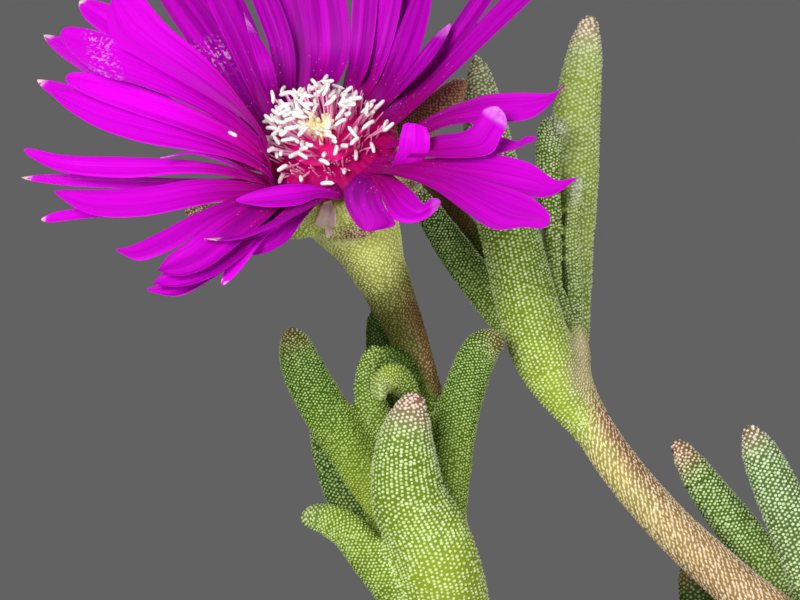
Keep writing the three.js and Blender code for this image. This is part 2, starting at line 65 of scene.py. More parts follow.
# The reference photograph: its pixels, at a known depth behind the target's plane, place what it shows
PHOTO_CENTRE = (400, 300)
PHOTO_WIDTH = 800
PHOTO_DISTANCE = 330
PHOTO_ELEVATION = math.radians(15)
PHOTO_TARGET = np.array([-3.0, 0.0, 134.0])
MM_PER_PIXEL = FLOWER_SPAN / 553
VIEW_RIGHT = np.array([1.0, 0.0, 0.0])
VIEW_UP = np.array([0.0, math.sin(PHOTO_ELEVATION), math.cos(PHOTO_ELEVATION)])
VIEW_AWAY = np.array([0.0, math.cos(PHOTO_ELEVATION), -math.sin(PHOTO_ELEVATION)])
CAMERA_AT = PHOTO_TARGET - VIEW_AWAY * PHOTO_DISTANCE


def unit(v):
    """A vector, or each row of an array of them, at length 1."""
    v = np.asarray(v, float)
    return v / np.maximum(np.linalg.norm(v, axis=-1, keepdims=True), 1e-12)


def seen(place):
    """The point that a pixel shows, given as column, row and depth behind the target's plane."""
    column, row, depth = place
    scale = MM_PER_PIXEL * (1 + depth / PHOTO_DISTANCE)
    across = VIEW_RIGHT * (column - PHOTO_CENTRE[0]) * scale
    upward = VIEW_UP * (PHOTO_CENTRE[1] - row) * scale
    return PHOTO_TARGET + across + upward + VIEW_AWAY * depth


# Flower frame: its rows are the flower's right, back and axis, and its origin is the ring of petal roots
RING_RADIUS = 6.3
FLOWER_AT = seen((331, 153, -4))
FLOWER_FACING = math.radians(45)
FLOWER_LEAN = math.radians(20)
FLOWER_AXIS = (
    -VIEW_RIGHT * math.sin(FLOWER_FACING) * math.sin(FLOWER_LEAN)
    + VIEW_UP * math.sin(FLOWER_FACING) * math.cos(FLOWER_LEAN)
    - VIEW_AWAY * math.cos(FLOWER_FACING)
)
FLOWER_BACK = unit(np.cross(FLOWER_AXIS, VIEW_RIGHT))
FLOWER_RIGHT = np.cross(FLOWER_BACK, FLOWER_AXIS)
FLOWER_ROWS = np.array([FLOWER_RIGHT, FLOWER_BACK, FLOWER_AXIS])


def from_flower(points):
    """Points of the flower's frame, in the plant's."""
    return np.asarray(points, float) @ FLOWER_ROWS + FLOWER_AT


def seen_in_flower(column, row, lift):
    """The point of the flower's frame that a pixel shows, at a lift above the ring of petal roots."""
    start = FLOWER_ROWS @ (CAMERA_AT - FLOWER_AT)
    way = FLOWER_ROWS @ unit(seen((column, row, 0)) - CAMERA_AT)
    return start + way * (lift - start[2]) / way[2]


def smoothstep(x, low, high):
    share = np.clip((np.asarray(x, float) - low) / (high - low), 0, 1)
    return share * share * (3 - 2 * share)


def spline(points, ts):
    """Places and directions on a Catmull-Rom curve, at shares of its count of spans."""
    points = np.asarray(points, float)
    padded = np.vstack([2 * points[0] - points[1], points, 2 * points[-1] - points[-2]])
    place = np.clip(ts, 0, 1) * (len(points) - 1)
    step = np.minimum(place.astype(int), len(points) - 2)
    u = (place - step)[:, None]
    p0, p1, p2, p3 = (padded[step + k] for k in range(4))
    m1, m2 = (p2 - p0) / 2, (p3 - p1) / 2
    c2 = 3 * (p2 - p1) - 2 * m1 - m2
    c3 = 2 * (p1 - p2) + m1 + m2
    return p1 + u * (m1 + u * (c2 + u * c3)), unit(m1 + u * (2 * c2 + 3 * u * c3))


def ring_faces(rings, sides, poles=True):
    """Faces between rings of points, with those round a pole at each end, which comes after the rings."""
    faces = []
    for ring in range(rings - 1):
        for k in range(sides):
            a, b = ring * sides + k, ring * sides + (k + 1) % sides
            faces.append((a, b, b + sides, a + sides))
    start, end = rings * sides, rings * sides + 1
    for k in range(sides if poles else 0):
        faces.append((start, (k + 1) % sides, k))
        faces.append((end, start - sides + k, start - sides + (k + 1) % sides))
    return faces


class Sweep:
    """A body swept along a curve. section(t, angle) gives how far across and over the curve its skin lies."""

    def __init__(self, points, face, section=None, stations=160):
        self.section = section
        self.ts = np.linspace(0, 1, stations)
        self.centres, tangents = spline(points, self.ts)
        side = np.cross(tangents[0], face)
        sides = []
        for tangent in tangents:
            side = unit(side - tangent * side.dot(tangent))
            sides.append(side)
        self.sides = np.array(sides)
        self.overs = np.cross(self.sides, tangents)
        steps = np.linalg.norm(np.diff(self.centres, axis=0), axis=1)
        self.length = np.concatenate([[0], np.cumsum(steps)])

    def along(self, rows, t):
        return np.stack([np.interp(t, self.ts, rows[:, k]) for k in range(3)], axis=-1)

    def place(self, t, across, over):
        """Points across and over the curve at its shares t, arrays of one shape."""
        out = self.along(self.sides, t) * across[..., None] + self.along(self.overs, t) * over[..., None]
        return self.along(self.centres, t) + out

    def at(self, t, angle):
        return self.place(t, *self.section(t, angle))

    def skin(self, rings, sides):
        """Points, faces and each point's t of the closed skin, whose rings crowd towards the tip."""
        stops = np.sin(np.pi / 2 * np.arange(rings) / rings)
        t, angle = np.meshgrid(stops, np.arange(sides) / sides * 2 * np.pi, indexing="ij")
        points = np.vstack([self.at(t, angle).reshape(-1, 3), self.centres[[0, -1]]])
        return points, ring_faces(rings, sides), np.concatenate([t.ravel(), [0, 1]])

    def share(self, t):
        """The share of the length that lies before t."""
        return np.interp(t, self.ts, self.length) / self.length[-1]


# Papillae stand in files along a body, each file staggered against the next, and their rows slant
FILE_GAP = 2.0
CELL = 1.3
SLANT = 3.0
FILE_STEP = 0.12
LOOP_POINTS = 65


def bead_rows(sweep, pitch, first, last, stretch, loose=0.11, file_gap=FILE_GAP):
    """Places of papillae on a swept body, more or less loose, with the direction along it at each."""
    steps = np.arange(first * sweep.length[-1], last * sweep.length[-1], pitch * CELL / file_gap * stretch)
    around = np.linspace(0, 2 * np.pi, LOOP_POINTS)
    ts, angles = [], []
    count = 0
    for k, t in enumerate(np.interp(steps, sweep.length, sweep.ts)):
        loop = sweep.at(np.full(LOOP_POINTS, t), around)
        reach = np.concatenate([[0], np.cumsum(np.linalg.norm(np.diff(loop, axis=0), axis=1))])
        if abs(reach[-1] / (file_gap * pitch) - count) > FILE_STEP * count:
            count = max(round(reach[-1] / (file_gap * pitch)), 3)
        share = (np.arange(count) + 0.5 * (k % 2) + rng.normal(0, loose / file_gap, count)) / count % 1
        angles.append(np.interp(share * reach[-1], reach, around))
        ts.append(t + np.abs(share - 0.5) * SLANT * pitch * stretch / sweep.length[-1])
    t = np.concatenate(ts)
    angle = np.concatenate(angles)
    t = np.clip(t + rng.normal(0, 1.2 * loose * pitch * stretch / sweep.length[-1], len(t)), 0, 0.999)
    before, after = sweep.at(np.maximum(t - 0.002, 0), angle), sweep.at(t + 0.001, angle)
    return sweep.at(t, angle), unit(unit(after - before) + rng.normal(0, loose, (len(t), 3)))


# Shoots: closed bodies that are grown together as one skin, and the papillae on it
TINTS = ("lime", "shade", "blush", "pale", "chalk", "stem", "woody", "ruddy")
TINT_ROUNDS = 10
PULL = 0.6
HELD_BACK = 0.03
CREASES = 16


def remeshed(points, faces, voxel):
    """Closed bodies joined as one, as points and four-sided faces."""
    mesh = bpy.data.meshes.new("joined")
    mesh.from_pydata(points.tolist(), [], faces)
    joined = bpy.data.objects.new("joined", mesh)
    bpy.context.scene.collection.objects.link(joined)
    remesh = joined.modifiers.new("grow together", "REMESH")
    remesh.mode = "VOXEL"
    remesh.voxel_size = voxel
    whole = bpy.data.meshes.new_from_object(joined.evaluated_get(bpy.context.evaluated_depsgraph_get()))
    co = np.empty(len(whole.vertices) * 3, np.float32)
    whole.vertices.foreach_get("co", co)
    corners = np.empty(len(whole.loops), np.int32)
    whole.loops.foreach_get("vertex_index", corners)
    bpy.data.objects.remove(joined)
    bpy.data.meshes.remove(mesh)
    bpy.data.meshes.remove(whole)
    return co.reshape(-1, 3).astype(float), corners.reshape(-1, 4)


def gathered(index, rows, count):
    """Sums of rows that share an index."""
    return np.stack([np.bincount(index, rows[:, k], count) for k in range(rows.shape[1])], axis=1)


def vertex_normals(points, faces):
    across = np.cross(points[faces[:, 2]] - points[faces[:, 0]], points[faces[:, 3]] - points[faces[:, 1]])
    return unit(sum(gathered(faces[:, k], across, len(points)) for k in range(4)))


def neighbour_means(faces, rows):
    start, end = faces.ravel(), np.roll(faces, -1, axis=1).ravel()
    return gathered(start, rows[end], len(rows)) / np.bincount(start, minlength=len(rows))[:, None]


def smoothed(points, faces, creases, steps=4):
    """A skin without its voxel steps, and filled along its creases by so many rounds."""
    for k in range(steps + creases):
        pull = neighbour_means(faces, points) - points
        outward = np.sum(pull * vertex_normals(points, faces), axis=1, keepdims=True)
        points = points + pull * (PULL if k < steps else np.where(outward > 0, PULL, HELD_BACK))
    return points


def carried(points, source, values):
    """Each point's values from the nearest source point."""
    tree = KDTree(len(source))
    for k, place in enumerate(source.tolist()):
        tree.insert(place, k)
    tree.balance()
    return values[[tree.find(place)[1] for place in points.tolist()]]


# Papillae: low cones, smooth shaded, whose feet are sunk in the skin and nearly touch
BEAD_WIDTH = 0.64
BEAD_HEIGHT = 0.72
ASKEW = 0.4
BEAD_SUNK = 0.3
BEAD_SIDES = 5
BEAD_SPACING = 0.62
GRID = 0.5


def bead_mesh(spots, normals, ways, pitch, stretch, share):
    """Points, faces and each point's share of height, of papillae at many places and shares of full size."""
    sides = BEAD_SIDES
    ways = unit(ways - normals * np.sum(ways * normals, axis=1, keepdims=True))
    ways = unit(ways - np.cross(normals, ways) * (ASKEW * (stretch - 1)).clip(0)[:, None])
    sideways = np.cross(normals, ways)
    angles = np.arange(sides) / sides * 2 * np.pi
    shape = np.array([*((math.cos(a), math.sin(a), -BEAD_SUNK) for a in angles), (0, 0, 1)])
    size = pitch * BEAD_WIDTH * rng.normal(1, 0.13, len(spots)).clip(0.7, 1.35) * share
    points = (
        spots[:, None]
        + ways[:, None] * shape[:, :1] * (size * stretch)[:, None, None]
        + sideways[:, None] * shape[:, 1:2] * size[:, None, None]
        + normals[:, None] * shape[:, 2:] * (size * BEAD_HEIGHT)[:, None, None]
    )
    shift = (np.arange(len(spots)) * len(shape))[:, None, None]
    ring = np.arange(sides)
    cone = np.stack([np.full(sides, sides), ring, (ring + 1) % sides], 1)
    heights = np.tile(shape[:, 2].clip(0), len(spots))
    return points.reshape(-1, 3), (shift + cone).reshape(-1, 3).tolist(), heights


def build_piece(name, points, faces, material, values=None, nodes=()):
    """An object of the plant from points in millimetres, with a value per point for each name given."""
    mesh = bpy.data.meshes.new(name)
    mesh.from_pydata((points / 1000).tolist(), [], faces)
    mesh.shade_smooth()
    for key, value in (values or {}).items():
        layer = mesh.attributes.new(key, "FLOAT", "POINT")
        layer.data.foreach_set("value", np.ascontiguousarray(value, np.float32))
    mesh.materials.append(material)
    piece = bpy.data.objects.new(name, mesh)
    bpy.context.scene.collection.objects.link(piece)
    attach(piece, "root")
    if nodes:
        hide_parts(*nodes)
    return piece


class Body:
    """Points, faces and per-point values gathered for one object."""

    def __init__(self, *names):
        self.points, self.faces, self.count = [], [], 0
        self.values = {name: [] for name in names}

    def add(self, points, faces, **values):
        self.points.append(points)
        self.faces += [tuple(i + self.count for i in face) for face in faces]
        for name, kept in self.values.items():
            kept.append(np.broadcast_to(np.asarray(values.get(name, 0), float), (len(points),)))
        self.count += len(points)

    def joined(self):
        return np.vstack(self.points), self.faces, {key: np.concatenate(v) for key, v in self.values.items()}

    def build(self, name, material, slot, *nodes):
        points, faces, values = self.joined()
        return build_piece(name, points, faces, material, values, nodes)


class Shoot:
    """A shoot's bodies and the places of their papillae, until it is built."""

    NEAR, FAR = 0.25, 1.0
    SUNNY_SIDE = unit([0.85, 0, 0.5])
    BARE_CORE = 0.6
    BARE_SHRINK = 0.4

    def __init__(self, bare=()):
        self.body = Body(*TINTS)
        self.beads = []
        self.bare = bare

    def add(self, points, faces, **tints):
        self.body.add(points, faces, **tints)

    def add_beads(self, places, ways, pitch, stretch=1.0):
        self.beads += [(p, w, pitch, stretch) for p, w in zip(places.tolist(), ways.tolist())]

    def bareness(self, points):
        """How far each point lies in a smoother, rosy place with smaller papillae, from 0 to 1."""
        shares = [np.zeros(len(points))]
        for *place, radius in self.bare:
            reach = np.linalg.norm(points - seen(place), axis=1)
            shares.append(1 - smoothstep(reach, self.BARE_CORE, radius))
        return np.max(shares, axis=0)

    def settled(self, points, faces):
        """The papillae moved on to the skin: first those near it, then what fills its creases."""
        self.skin = tree = BVHTree.FromPolygons(points.tolist(), faces.tolist())
        taken = {}
        kept = []
        for nearest, furthest in ((0, self.NEAR), (self.NEAR, self.FAR)):
            for place, way, pitch, stretch in self.beads:
                spot, normal, face, gap = tree.find_nearest(place, furthest)
                if spot is None or gap < nearest:
                    continue
                cell = tuple(int(v // GRID) for v in spot)
                close = (BEAD_SPACING * pitch) ** 2
                around = (
                    other
                    for dx in (-1, 0, 1)
                    for dy in (-1, 0, 1)
                    for dz in (-1, 0, 1)
                    for other in taken.get((cell[0] + dx, cell[1] + dy, cell[2] + dz), ())
                )
                if any((spot - other).length_squared < close for other in around):
                    continue
                taken.setdefault(cell, []).append(spot)
                kept.append((*spot, *normal, *way, pitch, stretch, face))
        return np.array(kept)

    def build(self, name, voxel, creases=CREASES, nodes=None):
        source, faces, tints = self.body.joined()
        tints = np.stack([tints[key] for key in TINTS], axis=1)
        points, faces = remeshed(source, faces, voxel)
        values = carried(points, source, tints)
        points = smoothed(points, faces, creases)
        for _ in range(TINT_ROUNDS):
            values = neighbour_means(faces, values)
        kept = dict(zip(TINTS, values.T))
        sunny = smoothstep(vertex_normals(points, faces) @ self.SUNNY_SIDE, -0.1, 0.9)
        kept["flush"] = sunny * kept.pop("ruddy")
        kept["rosy"] = self.bareness(points)
        plain = {"bead": np.zeros(len(points)), "tone": np.full(len(points), 0.5)}
        nodes = (name,) if nodes is None else nodes
        build_piece(name + "_skin", points, faces.tolist(), LEAF, {**kept, **plain}, nodes)
        beads = self.settled(points, faces)
        body = Body("bead", "tone", *kept)
        spots, normals, ways = beads[:, :3], beads[:, 3:6], beads[:, 6:9]
        size = 1 - self.BARE_SHRINK * self.bareness(spots)
        bumps, bump_faces, height = bead_mesh(spots, normals, ways, beads[:, 9], beads[:, 10], size)
        under = faces[beads[:, 11].astype(int), 0]
        given = {key: np.repeat(value[under], BEAD_SIDES + 1) for key, value in kept.items()}
        tone = np.repeat(rng.random(len(beads)), BEAD_SIDES + 1)
        body.add(bumps, bump_faces, bead=height, tone=tone, **given)
        body.build(name + "_papillae", LEAF, "leaf")


# Materials
def colour(red, green, blue):
    """An sRGB colour of 0 to 255 as Blender's linear one."""

    def linear(v):
        v = v / 255
        return v / 12.92 if v <= 0.04045 else ((v + 0.055) / 1.055) ** 2.4

    return linear(red), linear(green), linear(blue), 1.0


class Nodes:
    """A material's node tree, with short calls for the nodes that the looks use."""

    def __init__(self, name):
        self.material = bpy.data.materials.new(name)
        self.material.use_nodes = True
        self.tree = self.material.node_tree
        self.shader = self.tree.nodes["Principled BSDF"]

    def fill(self, socket, value):
        if isinstance(value, bpy.types.NodeSocket):
            self.tree.links.new(value, socket)
        else:
            socket.default_value = value

    def node(self, kind, inputs, **settings):
        made = self.tree.nodes.new("ShaderNode" + kind)
        for key, value in settings.items():
            setattr(made, key, value)
        for key, value in inputs.items():
            self.fill(made.inputs[key], value)
        return made

    def value(self, attribute):
        return self.node("Attribute", {}, attribute_name=attribute).outputs["Fac"]

    def place(self):
        return self.node("TexCoord", {}).outputs["Object"]

    def math(self, operation, a, b):
        return self.node("Math", {0: a, 1: b}, operation=operation).outputs[0]

    def times(self, a, b):
        return self.math("MULTIPLY", a, b)

    def plus(self, a, b):
        return self.math("ADD", a, b)

    def less(self, a, b):
        return self.math("SUBTRACT", a, b)

    def most(self, a, b):
        return self.math("MAXIMUM", a, b)

    def ramp(self, value, low, high, start=0.0, end=1.0):
        inputs = {"Value": value, 1: low, 2: high, 3: start, 4: end}
        return self.node("MapRange", inputs, interpolation_type="SMOOTHSTEP").outputs[0]

    def noise(self, scale, detail=3.0, vector=None):
        inputs = {"Scale": scale, "Detail": detail, "Vector": vector or self.place()}
        return self.node("TexNoise", inputs).outputs["Fac"]

    def mix(self, share, a, b):
        made = self.node("Mix", {}, data_type="RGBA")
        self.fill(made.inputs[0], share)
        for socket, value in ((made.inputs[6], a), (made.inputs[7], b)):
            self.fill(socket, colour(*value) if isinstance(value, tuple) else value)
        return made.outputs[2]

    def bump(self, height, strength, distance):
        made = self.node("Bump", {"Height": height, "Strength": strength, "Distance": distance})
        self.fill(self.shader.inputs["Normal"], made.outputs[0])

    def finish(self, **inputs):
        for key, value in inputs.items():
            self.fill(self.shader.inputs[key.replace("_", " ")], value)
        return self.material


def leaf_material():
    """Fleshy green skin, from lime roots to blushed tips, with painted shade where it lies in shadow and
    between the papillae, and painted highlights where the papillae glisten at their tops.
    """
    n = Nodes("papillate leaf")
    bead, blush = n.value("bead"), n.value("blush")
    # shade darkens the skin: on leaves partly their own darker green and partly painted shade where the
    # flower and stems shadow them.
    shade = n.value("shade")
    skin = n.mix(shade, (104, 150, 30), (28, 52, 0))
    skin = n.mix(n.value("lime"), skin, (180, 204, 62))
    # Stems run from a bright lime, paler than the cup's own colour as painted light where the flower shades
    # it, to the dark olive of painted shadow under the flower.
    stem = n.mix(shade, (244, 252, 128), (56, 48, 0))
    stem = n.mix(n.value("woody"), stem, (206, 174, 116))
    stem = n.mix(n.times(n.value("flush"), 0.8), stem, (156, 88, 76))
    skin = n.mix(n.value("stem"), skin, stem)
    # Blushed tips darken under painted shade too.
    skin = n.mix(blush, skin, n.mix(shade, (218, 152, 138), (120, 66, 52)))
    skin = n.mix(n.value("chalk"), skin, (216, 222, 192))
    skin = n.mix(n.ramp(n.noise(300, 4), 0.4, 0.75, 0.0, 0.25), skin, (74, 92, 10))
    skin = n.mix(n.value("rosy"), skin, (228, 214, 162))
    # Painted shade in the gaps at the papillae's feet: dark green, lighter on bright skin, brown where the
    # skin is blushed or woody.
    bright = n.most(n.value("lime"), n.most(n.value("rosy"), n.value("chalk")))
    deep = n.less(0.72, n.times(bright, 0.38))
    gap = n.mix(deep, skin, (20, 44, 0))
    brown = n.most(n.times(blush, 0.65), n.times(n.value("woody"), 0.32))
    gap = n.mix(brown, gap, (136, 88, 60))
    # Painted highlights on the papillae's tops: whitish, partly the cells' own pallor, dimmed under painted
    # shade and on rosy places.
    white = n.mix(blush, (226, 240, 202), (252, 228, 222))
    white = n.mix(n.value("stem"), white, (240, 240, 196))
    white = n.mix(n.value("woody"), white, (246, 222, 208))
    painted_shade_dim = n.times(shade, n.plus(0.8, n.times(n.value("stem"), 0.16)))
    painted_highlight_share = n.less(1.0, n.most(painted_shade_dim, n.times(n.value("rosy"), 0.6)))
    top = n.mix(n.times(painted_highlight_share, 0.45), skin, (228, 246, 140))
    top = n.mix(n.times(n.value("pale"), painted_highlight_share), top, white)
    edge = n.less(0.34, n.times(n.value("pale"), 0.14))
    light = n.ramp(bead, edge, n.plus(edge, 0.44))
    light = n.times(light, n.ramp(n.value("tone"), 0.0, 1.0, 0.6, 1.0))
    return n.finish(
        Base_Color=n.mix(light, n.mix(n.ramp(bead, 0.0, 0.3), gap, skin), top),
        Roughness=n.ramp(bead, 0.2, 1.0, 0.7, 0.35),
        Specular_IOR_Level=0.14,
        Subsurface_Weight=0.08,
        Subsurface_Scale=0.0003,
        Subsurface_Radius=(0.6, 1.0, 0.2),
    )


def petal_material():
    """Satin magenta with fine veins, a crimson claw, painted sparkles and painted shade along folds, and tips
    that are bleached or dried.
    """
    n = Nodes("petal magenta")
    along, across, tone = n.value("along"), n.value("across"), n.value("tone")

    def drawn(across_scale, along_scale, apart, scale, detail):
        """Noise drawn out along the petals, with a place of its own for each of them."""
        inputs = {0: n.times(across, across_scale), 1: n.times(along, along_scale), 2: n.times(tone, apart)}
        return n.noise(scale, detail, n.node("CombineXYZ", inputs).outputs[0])

    streak = drawn(4.0, 0.7, 37.0, 2.2, 5)
    base = n.mix(n.ramp(along, 0.04, 0.34), (184, 0, 94), (172, 0, 110))
    base = n.mix(n.ramp(along, 0.26, 0.7), base, (238, 2, 242))
    # deep darkens a petal: partly its own deeper colour, partly painted shade on petals that lie in shadow.
    base = n.mix(n.times(n.value("deep"), 0.48), base, (104, 0, 70))
    veins = n.times(n.ramp(streak, 0.5, 0.62), n.ramp(along, 0.2, 0.85, 0.7, 0.12))
    base = n.mix(veins, base, (112, 0, 92))
    violet = n.ramp(drawn(3.0, 1.1, 91.0, 2.6, 4), 0.52, 0.7)
    base = n.mix(n.times(violet, n.ramp(along, 0.12, 0.75, 0.6, 0.1)), base, (116, 8, 196))
    # Painted shade in bands along the petals' folds, strongest on deep petals.
    painted_fold_shade = n.ramp(drawn(1.3, 0.5, 53.0, 2.0, 2), 0.4, 0.62)
    base = n.mix(n.times(painted_fold_shade, n.times(n.value("deep"), 0.85)), base, (122, 0, 124))
    base = n.mix(n.times(tone, 0.22), base, (140, 0, 140))
    # Painted sparkles: small pale dots near the base stand in for glints.
    cells = n.node("TexVoronoi", {"Vector": n.place(), "Scale": 4200.0})
    reach = n.less(along, n.times(n.value("deep"), 0.34))
    dots = n.times(n.ramp(cells.outputs["Distance"], 0.2, 0.08), n.ramp(reach, 0.14, 0.42, 1.0, 0.0))
    painted_sparkles = n.times(dots, n.ramp(cells.outputs["Color"], 0.7, 0.74))
    base = n.mix(painted_sparkles, base, (255, 206, 246))
    grain = n.noise(1500, 3)
    flecks = n.times(n.ramp(streak, 0.44, 0.56), n.ramp(n.noise(2600, 3), 0.5, 0.6, 0.0, 0.5))
    base = n.mix(n.times(n.value("flecked"), flecks), base, (252, 186, 252))
    withered = n.times(n.value("dry"), n.ramp(grain, 0.4, 0.52))
    withered = n.most(withered, n.less(n.value("dry"), 1.0))
    base = n.mix(withered, base, (240, 212, 200))
    base = n.mix(n.times(n.value("frost"), n.ramp(grain, 0.3, 0.6, 0.5, 1.0)), base, (236, 130, 244))
    n.bump(n.plus(n.times(streak, 0.6), n.times(grain, 0.1)), 0.35, 0.0002)
    return n.finish(
        Base_Color=base,
        Roughness=0.55,
        Specular_IOR_Level=0.08,
        Subsurface_Weight=0.1,
        Subsurface_Scale=0.0005,
        Subsurface_Radius=(1.0, 0.1, 1.0),
    )


def tuft_material():
    """Stamens: crimson floor and filament feet, pink filaments, white anthers and cream styles."""
    n = Nodes("stamen tuft")
    along = n.value("along")
    base = n.mix(n.ramp(along, 0.0, 0.5), (222, 8, 128), (255, 178, 224))
    base = n.mix(n.ramp(along, 0.5, 0.6), base, (255, 246, 242))
    base = n.mix(n.value("cream"), base, (255, 240, 198))
    n.bump(n.noise(3600, 2), 0.3, 0.00006)
    return n.finish(
        Base_Color=base,
        Roughness=0.5,
        Specular_IOR_Level=0.15,
        Subsurface_Weight=0.1,
        Subsurface_Scale=0.0003,
    )


def clay_material():
    """Fired clay with the wheel's rings, darker clouds, grains and a little lime bloom."""
    n = Nodes("fired clay")
    grain = n.noise(900, 6)
    wheel = n.noise(1.0, 3, n.node("Mapping", {"Vector": n.place(), "Scale": (6, 6, 420)}).outputs[0])
    base = n.mix(n.ramp(n.noise(38, 5), 0.3, 0.7), (186, 108, 70), (166, 88, 54))
    base = n.mix(n.ramp(grain, 0.55, 0.75, 0.0, 0.5), base, (212, 150, 112))
    bloom = n.times(n.ramp(n.noise(55, 6), 0.52, 0.72), n.ramp(n.noise(18, 2), 0.45, 0.65, 0.0, 0.45))
    base = n.mix(bloom, base, (222, 204, 186))
    n.bump(n.plus(wheel, n.times(grain, 0.35)), 0.5, 0.0004)
    return n.finish(Base_Color=base, Roughness=0.86)


def soil_material():
    n = Nodes("gritty compost")
    crumb = n.noise(520, 6)
    n.bump(crumb, 0.8, 0.0009)
    return n.finish(Base_Color=n.mix(n.ramp(crumb, 0.35, 0.7), (38, 28, 20), (92, 70, 50)), Roughness=0.95)


def grit_material():
    """Stones and bark, each of its own tone between dark brown and chalky white."""
    n = Nodes("grit and bark")
    shades = ((58, 42, 30), (96, 72, 50), (150, 126, 98), (176, 168, 156), (232, 228, 218))
    base = shades[0]
    for k, shade in enumerate(shades[1:]):
        base = n.mix(n.ramp(n.value("tone"), k / 4, (k + 1) / 4), base, shade)
    pits = n.noise(1500, 4)
    n.bump(pits, 0.6, 0.0003)
    return n.finish(Base_Color=n.mix(n.ramp(pits, 0.4, 0.7, 0.0, 0.4), base, (70, 54, 40)), Roughness=0.9)


LEAF = leaf_material()
PETAL = petal_material()
TUFT = tuft_material()
CLAY = clay_material()
COMPOST = soil_material()
GRIT = grit_material()

# Leaves and stems
LEAF_FLATNESS = 0.78
UPPER_FACE = 0.62
LEAF_STRETCH = 0.85
LEAF_STOPS = (0, 0.35, 0.7, 1)


def leaf_sweep(points, width, face, base=0.85, full=0.35, blunt=4.5, keel=0.0):
    """A fleshy leaf, flatter above than below, its upper side towards face, with a keel underneath."""

    def section(t, angle):
        root = base + (1 - base) * smoothstep(t, 0, full)
        share = root * (1 - 0.16 * t) * np.maximum(1 - t**blunt, 0) ** 0.52
        half = np.maximum(share, 0.02) * width / 2
        across, over = np.cos(angle), np.sin(angle)
        under = over * (1 + keel * np.abs(over) ** 3)
        return across * half, np.where(over > 0, over * UPPER_FACE, under) * half * LEAF_FLATNESS

    return Sweep(points, face, section)


def at_points(t, values):
    """Values given at each point of a curve, at its shares t."""
    return np.interp(t, np.linspace(0, 1, len(values)), values)


def stem_sweep(points, radii):
    def section(t, angle):
        radius = at_points(t, radii)
        return np.cos(angle) * radius, np.sin(angle) * radius

    return Sweep(points, VIEW_AWAY, section, stations=240)


def leaf_tints(t, lime=(0.6, 0.0), shade=0.3, blush=0.4, pale=0.5, chalk=(0.0, 0.0), blushed_from=0.8):
    """A leaf's tints along it: lime fades from root to tip, where blush and chalky bloom gather. shade is
    partly the leaf's own darker green and partly painted shade, and pale sets how white its papillae's tops
    are, partly their own pallor and partly painted highlight.
    """
    return {
        "lime": lime[0] + (lime[1] - lime[0]) * smoothstep(t, 0.0, 0.75),
        "shade": shade,
        "blush": blush * smoothstep(t, blushed_from, blushed_from + 0.17),
        "pale": pale,
        "chalk": chalk[0] + (chalk[1] - chalk[0]) * smoothstep(t, 0.72, 0.92),
    }


def grow_leaf(
    shoot, points, width, face, pitch=0.46, file_gap=FILE_GAP, rings=36, sides=26, tints=None, **shape
):
    sweep = leaf_sweep(points, width, face, **shape)
    skin, faces, t = sweep.skin(rings, sides)
    shoot.add(skin, faces, **leaf_tints(t, **(tints or {})))
    rows = bead_rows(sweep, pitch, 0.03, 0.99, LEAF_STRETCH, file_gap=file_gap)
    shoot.add_beads(*rows, pitch, LEAF_STRETCH)


def grow_seen_leaf(shoot, points, **form):
    """A leaf whose points are given as column, row and depth in the photograph."""
    grow_leaf(shoot, [seen(place) for place in points], face=VIEW_AWAY, **form)
